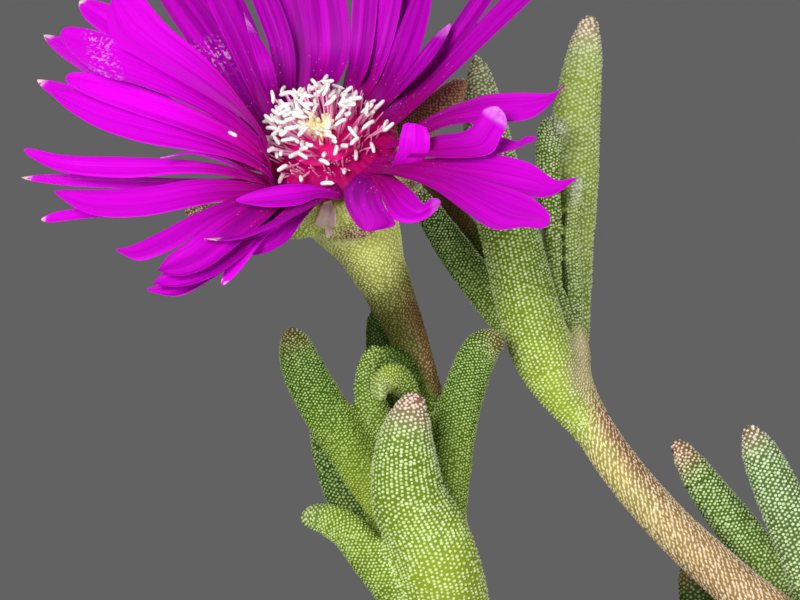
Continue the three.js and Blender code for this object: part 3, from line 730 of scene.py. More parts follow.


# Shoots in the photograph. Each leaf runs from its root to its tip, as column, row and depth.
# Each stem point is column, row, depth, radius, shade, ruddy and woody; shade is the painted shadow that
# falls on the stem.
# Each bare place, rosy and with smaller papillae, is column, row, depth and radius.
SHOOTS = {
    "flowering_shoot": dict(
        foot=(6, 1),
        stem=[
            (472, 700, 1, 1.9, 0.3, 0.5, 0.2), (462, 640, 1.5, 2.3, 0.3, 0.3, 0.1),
            (447, 560, 2.4, 2.4, 0.5, 0.1, 0), (438, 480, 3.4, 2.1, 0.6, 0.2, 0),
            (433, 425, 3.7, 1.7, 0.7, 0.6, 0), (422, 380, 4, 1.5, 0.85, 0.7, 0),
            (406, 330, 4, 1.75, 1.0, 0.4, 0), (393.5, 304, 3.4, 2.1, 0.95, 0.3, 0),
            (386, 283, 2.7, 2.3, 0.85, 0.1, 0), (377, 266, 2.1, 2.55, 0.35, 0, 0),
            (367.5, 242, 1.5, 3.2, 0, 0, 0), (356, 220, 1, 4.1, 0, 0, 0), (347, 198, -0.3, 5.2, 0, 0, 0),
            (339, 177, -1.9, 5.9, 0, 0, 0), (333, 159, -3.4, 6.1, 0, 0, 0),
        ],
        stem_pitch=0.25, stem_stretch=1.1,
        leaves=dict(
            front=dict(
                width=8.0, base=0.95, keel=0.1, blunt=2.8, pitch=0.37, file_gap=2.6,
                tints=dict(lime=(1.0, 0.5), shade=0.1, blush=1.0, pale=1.0, chalk=(0.0, 0.4)),
                points=[
                    (456, 650, 1), (441, 575, -2.6), (426, 533, -3.4), (409.5, 500, -4), (405, 460, -4.3),
                    (408, 425, -4.4), (417, 390, -4),
                ],
            ),
            right=dict(
                width=4.3, base=0.8, blunt=9, pitch=0.265,
                tints=dict(lime=(0.5, 0.05), shade=0.25, blush=0.4, pale=0.5),
                points=[
                    (446, 560, 0), (447, 500, 0.4), (453, 440, 1), (464, 392, 1.6), (481, 350, 2.2),
                    (505, 337, 2.4),
                ],
            ),
            left=dict(
                width=4.8, blunt=8, pitch=0.265,
                tints=dict(lime=(1.5, 0.0), shade=0.32, blush=0.35, pale=0.45),
                points=[
                    (432, 560, 2), (397, 515, 1.5), (364, 468, 0), (325, 410, -1), (300, 362, -1),
                    (291, 326, -0.5),
                ],
            ),
            left_behind=dict(
                width=4.2, pitch=0.32,
                tints=dict(lime=(0.2, 0.0), shade=0.5, blush=0.2, pale=0.6),
                points=[(436, 590, 2.5), (392, 555, 3.5), (352, 508, 4), (331, 462, 4), (312, 404, 3.5)],
            ),
            lower_left=dict(
                width=3.9, blunt=6, pitch=0.3,
                tints=dict(lime=(0.5, 0.5), shade=0.3, blush=0.0, pale=0.7, chalk=(0.0, 0.2)),
                points=[
                    (428, 655, 0.5), (394, 592, -2), (373, 563, -2.5), (348, 531, -2.3), (322, 518, -1.9),
                    (298, 519, -1.5),
                ],
            ),
            behind=dict(
                width=3.6, pitch=0.29,
                tints=dict(lime=(0.2, 0.0), shade=1.0, blush=0.0, pale=0.2),
                points=[(438, 520, 4), (408, 455, 8), (386, 385, 9.5), (380, 345, 9.6), (373, 305, 9.5)],
            ),
            young_left=dict(
                width=3.1, base=0.6, blunt=7, pitch=0.28,
                tints=dict(lime=(0.7, 0.3), shade=0.25, blush=0.0, pale=0.7),
                points=[(404, 462, 1), (386, 430, 0.2), (370, 400, 0), (369, 372, 0), (377, 343, 0.4)],
            ),
            young_right=dict(
                width=3.6, base=0.6, blunt=7, pitch=0.28,
                tints=dict(lime=(0.3, 0.0), shade=0.9, blush=0.0, pale=0.2),
                points=[(420, 458, 2.2), (417, 420, 1.7), (408, 386, 1.3), (394, 361, 1), (372, 355, 0.5)],
            ),
        ),
        pairs=dict(first=0.115, last=0.15, count=2, turn=20, length=12.5, width=4.2, spread=66),
    ),
    "arching_shoot": dict(
        foot=(37, -9),
        stem=[
            (822, 690, 4.5, 2.2, 0, 0.1, 1.0), (786, 628, 5, 2.2, 0, 0.1, 1.0),
            (741, 591, 5.5, 2.15, 0, 0.15, 1.0), (706, 560, 6, 2.1, 0, 0.25, 0.95),
            (674, 530, 6.5, 2.0, 0, 0.4, 0.85), (643, 496, 7, 1.95, 0, 0.9, 0.65),
            (615, 461, 7.5, 1.9, 0.1, 1, 0.6), (592, 425, 8, 1.8, 0.1, 1.1, 0.4),
            (573, 385, 7.7, 1.9, 0.1, 0.8, 0.3), (573, 350, 8.1, 1.6, 0.1, 0.3, 0.2),
            (575, 328, 8.8, 1.1, 0, 0, 0),
        ],
        stem_pitch=0.23, stem_stretch=2.2, stem_top=0.9,
        bare=[(585, 372, 6.2, 3.6), (583, 347, 6.8, 3.2), (586, 336, 9.6, 2.0)],
        leaves=dict(
            front=dict(
                width=6.2, base=0.5, keel=0.25, blunt=6, pitch=0.34, file_gap=2.4,
                tints=dict(lime=(1.2, 0.4), shade=0.2, blush=0.2, pale=1.0, chalk=(0.0, 0.45)),
                points=[
                    (591, 434, 7.6), (558, 385, 6.6), (533, 325, 6.3), (511, 240, 6.8), (489, 150, 8.2),
                    (476, 54, 9),
                ],
            ),
            long=dict(
                width=6.2, base=0.35, full=0.5, blunt=2.6, pitch=0.37,
                tints=dict(lime=(0.7, 1.2), shade=0.0, blush=0.8, pale=1.2, chalk=(0.08, 0.42)),
                points=[
                    (577, 380, 9.2), (574, 318, 12), (568, 250, 13.2), (571, 170, 13.6), (577, 110, 13.6),
                    (585, 50, 13.4), (591, 12, 13.4),
                ],
            ),
            left=dict(
                width=3.8, base=0.6, pitch=0.28,
                tints=dict(lime=(0.6, 0.0), shade=0.25, blush=0.3, pale=0.8),
                points=[
                    (574, 385, 9.6), (514, 326, 11.5), (465, 265, 11.5), (435, 222, 11), (407, 178, 10),
                ],
            ),
            slender=dict(
                width=3.1, pitch=0.3,
                tints=dict(lime=(0.2, 0.0), shade=0.9, blush=0.7, pale=0.2, blushed_from=0.45),
                points=[
                    (572, 376, 9.8), (516, 306, 14), (469, 236, 14.6), (440, 203, 14.2), (413, 172, 13.6),
                ],
            ),
            hooked=dict(
                width=3.1, base=0.35, full=0.7, blunt=7, pitch=0.3,
                tints=dict(lime=(0.6, 0.35), shade=0.15, blush=0.0, pale=1.2, chalk=(0.0, 0.75)),
                points=[
                    (577, 350, 8.8), (558, 292, 9.3), (551, 222, 9.5), (548, 165, 9.4), (551, 132, 8.6),
                    (560, 125, 7.6), (565, 137, 6.8),
                ],
            ),
            partner=dict(
                width=1.8, base=0.5, blunt=11, pitch=0.3,
                tints=dict(lime=(0.3, 0.8), shade=0.25, blush=0.0, pale=1.1, chalk=(0.1, 1.0)),
                points=[
                    (579, 350, 9.2), (575, 300, 10.2), (572, 250, 10.6), (574, 205, 10.2), (580, 172, 9.2),
                ],
            ),
        ),
    ),
    "edge_shoot": dict(
        foot=(32, 5),
        stem=[
            (800, 720, 11, 2.0, 0, 0.5, 0.5), (816, 660, 10, 2.1, 0, 0.5, 0.3),
            (824, 612, 9.5, 2.2, 0, 0.5, 0.2), (834, 575, 9, 1.3, 0, 0.5, 0),
        ],
        stem_pitch=0.4, stem_stretch=1.7, stem_top=0.9,
        leaves=dict(
            lower=dict(
                width=4.5, blunt=6, pitch=0.34,
                tints=dict(lime=(0.4, 0.1), shade=0.12, blush=0.8, pale=0.9, chalk=(0.05, 0.1)),
                points=[(820, 634, 10), (772, 573, 11.5), (740, 532, 12), (706, 488, 12), (673, 438, 12)],
            ),
            upper=dict(
                width=4.9, blunt=5, pitch=0.37,
                tints=dict(lime=(0.2, 0.0), shade=0.0, blush=0.7, pale=1.0, chalk=(0.2, 0.35)),
                points=[(826, 620, 9.2), (803, 553, 8.2), (781, 500, 8), (763, 460, 8), (747, 424, 8)],
            ),
            outer=dict(
                width=4.3, pitch=0.5,
                points=[(830, 620, 9.6), (856, 580, 9), (868, 520, 8.5), (870, 450, 8)],
            ),
            back=dict(
                width=4.0, pitch=0.5,
                points=[(832, 616, 10), (846, 570, 13), (850, 520, 14.5), (846, 470, 15)],
            ),
            hidden=dict(
                width=4.4, pitch=0.42,
                tints=dict(lime=(0.0, 0.0), shade=1.0, blush=0.5, pale=0.6, blushed_from=0.7),
                points=[
                    (812, 672, 11), (768, 668, 12.5), (724, 650, 13), (702, 612, 13), (694, 575, 13),
                    (690, 550, 12.8),
                ],
            ),
        ),
    ),
}

# Shoots outside the photograph: foot, tip and, for those that arch out over the rim, crest.
# The turn sets how the first pair of leaves faces.
LOW_SHOOTS = {
    "low_shoot_1": dict(foot=(-23, -2), tip=(-32, -6, 98), turn=10, count=4, length=19),
    "low_shoot_2": dict(foot=(-9, -23), tip=(-15, -33, 100), turn=70, count=4, length=20),
    "low_shoot_3": dict(foot=(11, -24), tip=(15, -34, 103), turn=30, count=4, length=19),
    "low_shoot_4": dict(foot=(28, -17), tip=(34, -22, 98), turn=55, count=4, length=15),
    "low_shoot_5": dict(foot=(-22, 17), tip=(-29, 24, 86), turn=40, count=3, length=15),
    "low_shoot_6": dict(foot=(2, 25), tip=(0, 33, 84), turn=15, count=3, length=14),
    "trailing_shoot_1": dict(
        foot=(-26, -23), crest=(-34, -32, 88), tip=(-39, -39, 88), turn=45, count=3, length=12,
    ),
    "trailing_shoot_2": dict(
        foot=(25, 25), crest=(32, 33, 85), tip=(37, 39, 82.5), turn=45, count=3, length=10,
    ),
}
PLAIN_LEAF = {"pitch": 0.68, "rings": 20, "sides": 18}


def leaf_pairs(points, first, last, count, turn, length, width, spread):
    """Decussate pairs up a stem, each as a leaf's points, width and facing."""
    for pair in range(count):
        share = pair / (count - 1) if count > 1 else 1
        at, along = (row[0] for row in spline(points, np.array([first + (last - first) * share])))
        size = length * (1 - 0.45 * share**2)
        angle = math.radians(spread * (1 - 0.5 * share))
        outward = unit(np.cross(along, VIEW_RIGHT))
        turned = math.radians(turn + 90 * pair)
        outward = outward * math.cos(turned) + np.cross(along, outward) * math.sin(turned)
        for way in (1, -1):
            reach = outward * way * size * math.sin(angle)
            rise = along * size * math.cos(angle)
            places = [at + reach * s * (1.3 - 0.3 * s) + rise * s * (0.8 + 0.2 * s) for s in LEAF_STOPS]
            yield places, width * (1 - 0.3 * share), along


def stem_points(foot, above):
    return [(*foot, SOIL["level"] - STEM_DEPTH), (*foot, SOIL["level"]), *above]


PHOTO_FOOT = 104
HIDDEN_PITCH = 0.72
STEM_LOOSE = 0.2


def grow_stem(shoot, points, shape, pitch, stretch=1.7, top=None, rings=100, sides=28):
    """A stem with a row of shape for each point, and coarse papillae where the photograph doesn't reach."""
    radii, shades, ruddy, woody = np.array(shape, float).T
    sweep = stem_sweep(points, radii)
    skin, faces, t = sweep.skin(rings, sides)
    # shade paints the shadow that falls on the stem, and pale the highlights painted on its papillae.
    tints = {"shade": at_points(t, shades), "ruddy": at_points(t, ruddy), "woody": at_points(t, woody)}
    green = 0.9 * smoothstep(t, top - 0.12, top) if top else 0
    shoot.add(skin, faces, stem=1 - green, lime=0.8, pale=0.9, **tints)
    soil = sweep.share(1.02 / (len(points) - 1))
    foot = sweep.share(sweep.ts[np.argmax(sweep.centres[:, 2] > PHOTO_FOOT)]) if pitch < HIDDEN_PITCH else 1.0
    hidden = bead_rows(sweep, HIDDEN_PITCH, soil, foot, stretch, STEM_LOOSE)
    shoot.add_beads(*hidden, HIDDEN_PITCH, stretch)
    if foot < 1:
        shown = bead_rows(sweep, pitch, foot, 1.0, stretch, STEM_LOOSE)
        shoot.add_beads(*shown, pitch, stretch)


def shown_shoot(foot, stem, stem_pitch, stem_stretch, leaves, bare=(), stem_top=None, pairs=None):
    shoot = Shoot(bare)
    points = stem_points(foot, [seen(place[:3]) for place in stem])
    shape = [stem[0][3:]] * 2 + [place[3:] for place in stem]
    for leaf in leaves.values():
        grow_seen_leaf(shoot, **leaf)
    grow_stem(shoot, points, shape, stem_pitch, stem_stretch, stem_top)
    if pairs:
        for places, width, face in leaf_pairs(points, **pairs):
            grow_leaf(shoot, places, width, face, **PLAIN_LEAF)
    return shoot


LOW_STEM = [(2, 0, 0.5, 0.6), (2, 0, 0.5, 0.6), (1.8, 0, 0.5, 0.3), (1.2, 0, 0.3, 0)]


def low_shoot(foot, tip, turn, count, length, crest=None):
    shoot = Shoot()
    start, top = np.array([*foot, SOIL["level"]], float), np.array(tip, float)
    middle = np.array(crest, float) if crest else (start + top) / 2 + (0, 0, 4)
    points = stem_points(foot, [middle, top])
    pairs = {"first": 0.5 if crest else 0.42, "last": 0.97, "width": 4.6, "spread": 52}
    for places, width, face in leaf_pairs(points, count=count, turn=turn, length=length, **pairs):
        grow_leaf(shoot, places, width, face, **PLAIN_LEAF)
    grow_stem(shoot, points, LOW_STEM, HIDDEN_PITCH, top=0.95, rings=26, sides=18)
    return shoot


def lathe(outline, segments, lumps=None):
    """Points and faces of radii and heights turned about +Z, from pole to pole or closed on itself."""
    outline = np.array(outline, float)
    closed = outline[0, 0] > 0
    rows = outline if closed else outline[1:-1]
    radius, angle = np.meshgrid(rows[:, 0], np.arange(segments) / segments * 2 * np.pi, indexing="ij")
    height = np.repeat(rows[:, 1:], segments, axis=1)
    if lumps:
        height = lumps(radius, angle, height)
    grid = np.stack([radius * np.cos(angle), radius * np.sin(angle), height], axis=-1).reshape(-1, 3)
    faces = ring_faces(len(rows), segments, poles=not closed)
    if closed:
        last = (len(rows) - 1) * segments
        faces += [(last + k, last + (k + 1) % segments, (k + 1) % segments, k) for k in range(segments)]
        return grid, faces
    poles = [[0, 0, outline[0, 1]], [0, 0, outline[-1, 1]]]
    return np.vstack([grid, poles]), faces


def rounded(outline, radii, steps=5):
    """An outline with its corners rounded to the given radii."""
    outline = np.array(outline, float)
    kept = []
    for k, corner in enumerate(outline):
        if not radii[k] or k in (0, len(outline) - 1):
            kept.append(corner)
            continue
        before, after = unit(outline[k - 1] - corner), unit(outline[k + 1] - corner)
        for s in np.linspace(0, 1, steps):
            kept.append(corner + (before * (1 - s) ** 2 + after * s**2) * radii[k])
    return np.array(kept)


def spaced(outline, step):
    """An outline with points no further apart than step."""
    kept = [outline[0]]
    for a, b in zip(outline, outline[1:]):
        parts = max(1, math.ceil(np.linalg.norm(b - a) / step))
        kept += [a + (b - a) * k / parts for k in range(1, parts + 1)]
    return np.array(kept)


# The sepals, as column, row and lift over the petal ring
SEPALS = [
    dict(
        width=3.6,
        points=[(338, 200, -4), (300, 222, -4.2), (240, 214, -3.6), (181, 211, -2.6)],
        tints=dict(lime=(1.3, 0.9), shade=0.0, blush=0.9, pale=1.0),
    ),
    dict(
        width=3.4,
        points=[(332, 190, -3.6), (338, 210, -4.6), (352, 224, -5), (375, 231, -4.8)],
        tints=dict(lime=(0.8, 0.2), shade=0.5, blush=1.0, pale=0.7, blushed_from=0.25),
    ),
    dict(
        width=2.2,
        points=[(378, 175, -4), (396, 181, -3.9), (409, 185, -3.6), (424, 187, -3.2)],
        tints=dict(lime=(1.3, 1.3), shade=0.0, blush=0.3, pale=1.0, chalk=(0.1, 0.3)),
    ),
    dict(
        width=4.2,
        points=[(370, 150, -4), (410, 128, -3.6), (440, 104, -2.4), (466, 77, -1.4)],
        tints=dict(lime=(0.4, 0.0), shade=0.6, blush=1.0, pale=0.1, blushed_from=0.3),
    ),
    dict(width=5.2, points=[(352, 145, -4), (362, 105, -3.4), (374, 45, -2.4), (384, -22, -1.4)]),
]
SEPAL_TINTS = {"lime": (1.0, 0.3), "shade": 0.2, "blush": 0.9, "pale": 0.5}

# The innermost young leaf stands free in front of the others, with its tip curled down
INNERMOST = dict(
    width=3.9, base=0.3, full=0.75, blunt=5.0, pitch=0.26,
    tints=dict(lime=(0.0, 0.8), shade=0.5, blush=0.0, pale=0.8, chalk=(0.0, 0.25)),
    points=[
        (417, 430, 0.6), (413, 405, -0.4), (407, 389, -1.3), (396, 379, -2.1), (385, 378, -2.8),
        (378, 386, -3.6), (382, 400, -4.3),
    ],
)

# The remeshing steps in millimetres, and the rounds that fill a shoot's creases
SHOWN_VOXELS = {"flowering_shoot": 0.38, "arching_shoot": 0.34, "edge_shoot": 0.4}
SHOWN_CREASES = {"flowering_shoot": CREASES, "arching_shoot": 5, "edge_shoot": CREASES}
INNERMOST_VOXEL, INNERMOST_CREASES = 0.16, 2
LOW_VOXEL = 0.75
SEPAL_PITCH = 0.3
for name, shape in SHOOTS.items():
    grown = shown_shoot(**shape)
    if name == "flowering_shoot":
        for sepal in SEPALS:
            places = from_flower([seen_in_flower(*place) for place in sepal["points"]])
            tints = sepal.get("tints", SEPAL_TINTS)
            grow_leaf(grown, places, sepal["width"], FLOWER_AXIS, pitch=SEPAL_PITCH, tints=tints)
    grown.build(name, SHOWN_VOXELS[name], SHOWN_CREASES[name])
    if name == "flowering_shoot":
        CUP_SKIN = grown.skin
        young = Shoot()
        grow_seen_leaf(young, **INNERMOST)
        young.build("innermost_leaf", INNERMOST_VOXEL, INNERMOST_CREASES, ())
for name, shape in LOW_SHOOTS.items():
    low_shoot(**shape).build(name, LOW_VOXEL)

# Petals from root to tip. Rows give a blade's two sides, as the column and row of each and the lift of both.
# The others have the column, row and lift of their middle, and a width. Lifts are over the ring of roots.
# point sharpens a tip, full is where a petal is widest, and deep makes its colour deeper, partly its own and
# partly painted shade.
# dry and frost bleach it from turned to the tip, and flecked is where along it pale flecks lie.
PETALS = [
    dict(deep=0.5, rows=[
        (284, 207, 302, 212, 2), (250, 235, 272, 240, 2.4), (220, 262, 243, 262, 2.6),
        (190, 277, 213, 281, 2.6), (165, 284, 180, 297, 2.6), (147, 288, 147, 290, 2.6),
    ]),
    dict(deep=0.4, rows=[
        (276, 204, 294, 209, 2.6), (240, 238, 264, 238, 3.2), (205, 264, 232, 266, 3.6),
        (178, 272, 205, 283, 3.8), (164, 276, 178, 290, 3.8), (153, 282, 154, 286, 3.8),
    ]),
    dict(deep=0.5, rows=[
        (264, 196, 284, 205, 3), (236, 211, 262, 224, 4), (206, 229, 236, 247, 4.6),
        (186, 244, 208, 268, 4.8), (170, 255, 180, 277, 4.8), (157, 268, 157, 272, 4.8),
    ]),
    dict(deep=0.3, rows=[
        (258, 192, 266, 199, 3), (225, 202, 240, 210, 4), (190, 217, 210, 227, 4.4),
        (155, 236, 178, 248, 4.4), (131, 247, 141, 261, 4.4), (116, 249, 116, 251, 4.4),
    ]),
    dict(root=(266, 192), places=[(150, 208, 2.0), (75, 215, 2.4), (41, 219, 2.4)], width=1.8, dry=0.8),
    dict(rows=[
        (258, 184, 262, 197, 3.4), (225, 179, 225, 200, 4), (190, 179, 190, 208, 4.4),
        (150, 185, 140, 219, 4.8), (100, 189, 92, 217, 5), (54, 190, 54, 195, 5),
    ]),
    dict(root=(262, 186), places=[(175, 183, 1.8), (90, 181, 2.4), (22, 178, 2.8)], width=1.9, dry=1.0),
    dict(rows=[
        (258, 176, 260, 184, 3), (225, 165, 220, 176, 3.6), (180, 160, 180, 175, 4),
        (120, 158, 125, 179, 4.4), (65, 157, 65, 173, 4.6), (24, 148, 25, 155, 4.6),
    ]),
    dict(root=(270, 178), places=[(225, 160, 4.6), (192, 152, 5.4), (160, 158, 5.6)], width=1.2, frost=1.0),
    dict(rows=[
        (264, 165, 266, 174, 4), (232, 143, 232, 158, 4.6), (187, 124, 193, 150, 5),
        (130, 104, 140, 142, 5.4), (85, 92, 92, 125, 5.6), (50, 84, 51, 98, 5.6),
    ]),
    dict(rows=[
        (264, 157, 266, 169, 4.4), (236, 131, 232, 148, 5.2), (187, 108, 187, 131, 5.8),
        (140, 90, 130, 113, 6.2), (98, 77, 90, 99, 6.6), (65, 73, 66, 86, 6.8),
    ]),
    dict(root=(264, 168), places=[(160, 128, 3.4), (90, 104, 4.4), (37, 82, 4.8)], width=2.2, dry=1.0),
    dict(flecked=0.82, rows=[
        (265, 148, 266, 158, 5), (230, 113, 236, 132, 6), (182, 77, 190, 107, 7), (128, 47, 140, 88, 7.8),
        (90, 31, 95, 75, 8.2), (59, 25, 60, 44, 8.4),
    ]),
    dict(root=(262, 158), places=[(160, 104, 3.6), (90, 66, 5.2), (44, 36, 6.2)], width=2.6, dry=1.0),
    dict(rows=[
        (269, 142, 266, 150, 5), (234, 93, 246, 126, 6.4), (204, 58, 200, 97, 7.4),
        (168, 28, 142, 63, 8.6), (144, 2, 113, 42, 9.4), (122, -18, 106, 8, 10),
    ]),
    dict(root=(268, 148), places=[(180, 74, 4), (110, 22, 7), (79, 2, 8)], width=3.0, dry=1.0),
    dict(root=(275, 132), places=[(212, 42, 6.4), (150, -44, 10.6)], width=4.6, deep=0.8, flecked=0.62),
    dict(root=(280, 126), places=[(225, 36, 4.8), (172, -52, 8.8)], width=3.2, deep=0.8),
    dict(root=(284, 122), places=[(240, 32, 6.4), (196, -60, 11)], width=3.4, deep=0.8),
    dict(
        root=(288, 119),
        places=[(265, 62, 7.2), (244, 12, 8.8)],
        width=1.5, point=1.0, frost=0.9, deep=0.8,
    ),
    dict(root=(297, 113), places=[(279, 38, 6.6), (240, -58, 11)], width=2.5, deep=0.8),
    dict(root=(307, 110), places=[(297, 30, 5.8), (268, -74, 10.4)], width=3.4, deep=0.8),
    dict(root=(314, 108), places=[(310, 28, 4.8), (290, -86, 9)], width=2.6, deep=0.8),
    dict(root=(325, 106), places=[(331, 36, 6.2), (312, -90, 11)], width=3.6, deep=0.8),
    dict(root=(347, 105), places=[(364, 40, 6.2), (372, -88, 11)], width=2.4, deep=0.8),
    dict(root=(354, 106), places=[(374, 30, 5), (385, -86, 9)], width=2.8, deep=0.8),
    dict(root=(358, 107), places=[(383, 34, 6.4), (404, -82, 11)], width=2.7, deep=0.8),
    dict(root=(365, 109), places=[(393, 40, 5.2), (420, -76, 9.4)], width=2.5, deep=0.8),
    dict(root=(372, 112), places=[(408, 46, 6.6), (436, -50, 10)], width=3.7, point=0.8, deep=0.8),
    dict(root=(378, 115), places=[(424, 62, 7), (450, 24, 8)], width=2.0, point=1.0, frost=0.6, deep=0.8),
    dict(root=(381, 118), places=[(438, 58, 5.8), (484, -4, 8.6), (514, -52, 10.6)], width=2.6, deep=0.8),
    dict(root=(386, 121), places=[(440, 70, 5), (476, 22, 6.6)], width=2.4, point=0.9, deep=0.8),
    dict(root=(390, 126), places=[(446, 74, 6), (504, 16, 8.6), (556, -34, 10.4)], width=3.5, deep=0.8),
    dict(deep=0.35, rows=[
        (420, 123, 424, 134, 4), (452, 108, 450, 124, 4.6), (490, 96, 486, 122, 5),
        (525, 94, 525, 122, 5.2), (551, 94, 548, 109, 5.4), (565, 85, 565, 87, 5.8),
    ]),
    dict(deep=0.35, rows=[
        (412, 146, 412, 156, 3.6), (450, 143, 450, 157, 4.2), (495, 139, 490, 158, 4.6),
        (517, 142, 513, 153, 4.8), (527, 137, 528, 147, 5), (538, 137, 538, 140, 5.2),
    ]),
    dict(deep=0.2, frost=1.0, turned=0.79, rows=[
        (410, 148, 410, 158, 4.6), (435, 136, 450, 161, 5.2), (465, 132, 490, 156, 5.8),
        (478, 120, 501, 139, 6.6), (484, 110, 507, 124, 7), (495, 106, 503, 109, 7.2),
    ]),
    dict(deep=0.3, rows=[
        (412, 160, 410, 168, 4.2), (450, 157, 450, 180, 4.8), (490, 155, 495, 191, 5),
        (530, 165, 530, 197, 5.2), (556, 181, 552, 195, 5.4), (576, 177, 576, 180, 5.8),
    ]),
    dict(deep=0.2, rows=[
        (408, 166, 390, 174, 4.4), (450, 172, 430, 186.5, 5.2), (490, 184, 466, 213, 5.8),
        (526, 196, 494, 233, 6.2), (544, 208, 524, 231, 6.4), (552, 220, 546, 232, 6.4),
    ]),
    dict(deep=0.25, rows=[
        (390, 168, 408, 171, 3.0), (398, 151, 428, 155, 4.9), (401, 137, 431, 140, 6.2),
        (404, 121, 427, 126, 7.0),
    ]),
    dict(deep=0.35, frost=0.3, rows=[
        (372, 180, 388, 173, 2.4), (383, 202, 403, 183, 2.8), (392, 218, 414, 193, 2.8),
        (410, 222, 424, 205, 2.8), (428, 216, 430, 199, 2.8), (441, 205, 440, 197, 2.8),
    ]),
    dict(deep=1.0, rows=[
        (354, 181, 378, 181, 2), (345, 190, 381, 196, 1.8), (345, 202, 388, 211, 1.4),
        (350, 214, 396, 225, 1), (361, 231, 380, 231, 0.6),
    ]),
    dict(
        root=(334, 204),
        places=[(290, 216, 4.4), (240, 237, 5), (204, 238, 5.4)],
        width=1.7, deep=0.6, dry=1.2, turned=0.78,
    ),
    dict(deep=0.7, rows=[
        (296, 204, 318, 206, 3), (276, 222, 303, 224, 3), (260, 236, 290, 241, 2.6),
        (248, 246, 268, 253, 2.4), (248, 254, 251, 255, 2.4),
    ]),
    dict(deep=0.5, rows=[
        (340, 192, 338, 200, 2), (318, 186, 318, 199, 3), (290, 187, 298, 207, 4),
        (262, 193, 268, 208, 4.6), (236, 200, 236, 203, 5),
    ]),
    dict(root=(310, 206), places=[(256, 240, 3.2), (222, 284, 3)], width=1.9, dry=0.6, full=0.95),
]
PETAL_ROWS, PETAL_COLUMNS = 34, 15
PETAL_THICKNESS = 0.2
CLAW = 0.3
TURNED = 0.86
NOWHERE = 9
PETAL_SEED, SCALE_SEED = 100, 300


def petal_sheet(path, edges, width, seed, point=0.5, full=0.75):
    """A thin petal with shallow folds and an uneven tip, about its middle path or between its edges."""
    draw = np.random.default_rng(seed)
    phase = draw.uniform(0, 2 * np.pi, 5)
    channel, skew = draw.uniform(0.02, 0.22), draw.uniform(-0.2, 0.2)
    stops = 1 - (1 - np.linspace(0, 1, PETAL_ROWS)) ** 1.5
    strips = np.sin(np.linspace(-0.5, 0.5, PETAL_COLUMNS) * np.pi)
    u, t = np.meshgrid(strips, stops, indexing="xy")
    sweep = Sweep(path, FLOWER_AXIS)
    if edges:
        left, right = (spline(edge, sweep.ts)[0] for edge in edges)
        sweep.sides = unit(right - left)
        sweep.centres = (left + right) / 2
        sweep.overs = unit(np.cross(sweep.sides, np.gradient(sweep.centres, axis=0)))
        if sweep.overs.mean(0) @ (FLOWER_AXIS - VIEW_AWAY) < 0:
            sweep.sides, sweep.overs = -sweep.sides, -sweep.overs
        half = np.interp(t, sweep.ts, np.linalg.norm(right - left, axis=1) / 2)
        near_tip = np.clip((t - 0.94) / 0.06, 0, 1)
        skew, point = 0, 0.1
    else:
        half = width / 2 * (CLAW + (1 - CLAW) * smoothstep(t, 0, full))
        near_tip = np.clip((t - 0.78 + 0.12 * point) / (0.22 + 0.12 * point), 0, 1)
    taper = np.maximum(1 - near_tip ** (2.8 - 1.2 * point), 0) ** (0.5 + 0.42 * point)
    half = half * np.maximum(taper, 0.02) * (1 + 0.03 * np.sin(11 * t + phase[4]))
    folds = 0.06 * np.cos(u * 5.5 + phase[0]) + 0.035 * np.cos(u * 11 + phase[1])
    waves = 0.14 * np.sin(5.5 * t + phase[2]) * u + 0.12 * np.sin(4 * t + phase[3])
    lift = channel * half * u**2 + folds * smoothstep(half, 0.4, 1.2) + waves * smoothstep(t, 0.1, 0.4)
    thick = PETAL_THICKNESS / 2 * (1 - 0.7 * u**6) * (1 - 0.6 * t**8)
    across = u * half + skew * (width or 0) * np.clip(t - 0.7, 0, 1) ** 2 * 3
    top, bottom = sweep.place(t, across, lift + thick), sweep.place(t, across, lift - thick)
    top[:, [0, -1]] = bottom[:, [0, -1]] = (top[:, [0, -1]] + bottom[:, [0, -1]]) / 2
    loop = np.concatenate([top, bottom[:, -2:0:-1]], axis=1)
    sides = loop.shape[1]
    faces = ring_faces(PETAL_ROWS, sides, poles=False)
    for ring, turn in ((0, 1), (PETAL_ROWS - 1, -1)):
        for k in range(PETAL_COLUMNS - 1):
            rim = [k, k + 1, (sides - k - 1) % sides, (sides - k) % sides]
            faces.append(tuple(ring * sides + i for i in dict.fromkeys(rim))[::turn])
    spread = np.concatenate([u, u[:, -2:0:-1]], axis=1).ravel()
    return loop.reshape(-1, 3), faces, np.repeat(stops, sides), spread


def from_throat(places, root=None):
    """A petal's path or edge from inside the throat of the flower, in the plant's frame."""
    places = [seen_in_flower(*place) for place in places]
    start = places[0] if root is None else seen_in_flower(*root, 1.2)
    way = unit([start[0], start[1], 0])
    claw = way * (RING_RADIUS - 1.9) + (0, 0, 1.1)
    throat = way * (RING_RADIUS + 0.4) + (0, 0, 1.3 + 0.1 * places[0][2])
    return from_flower([claw, throat, *places])


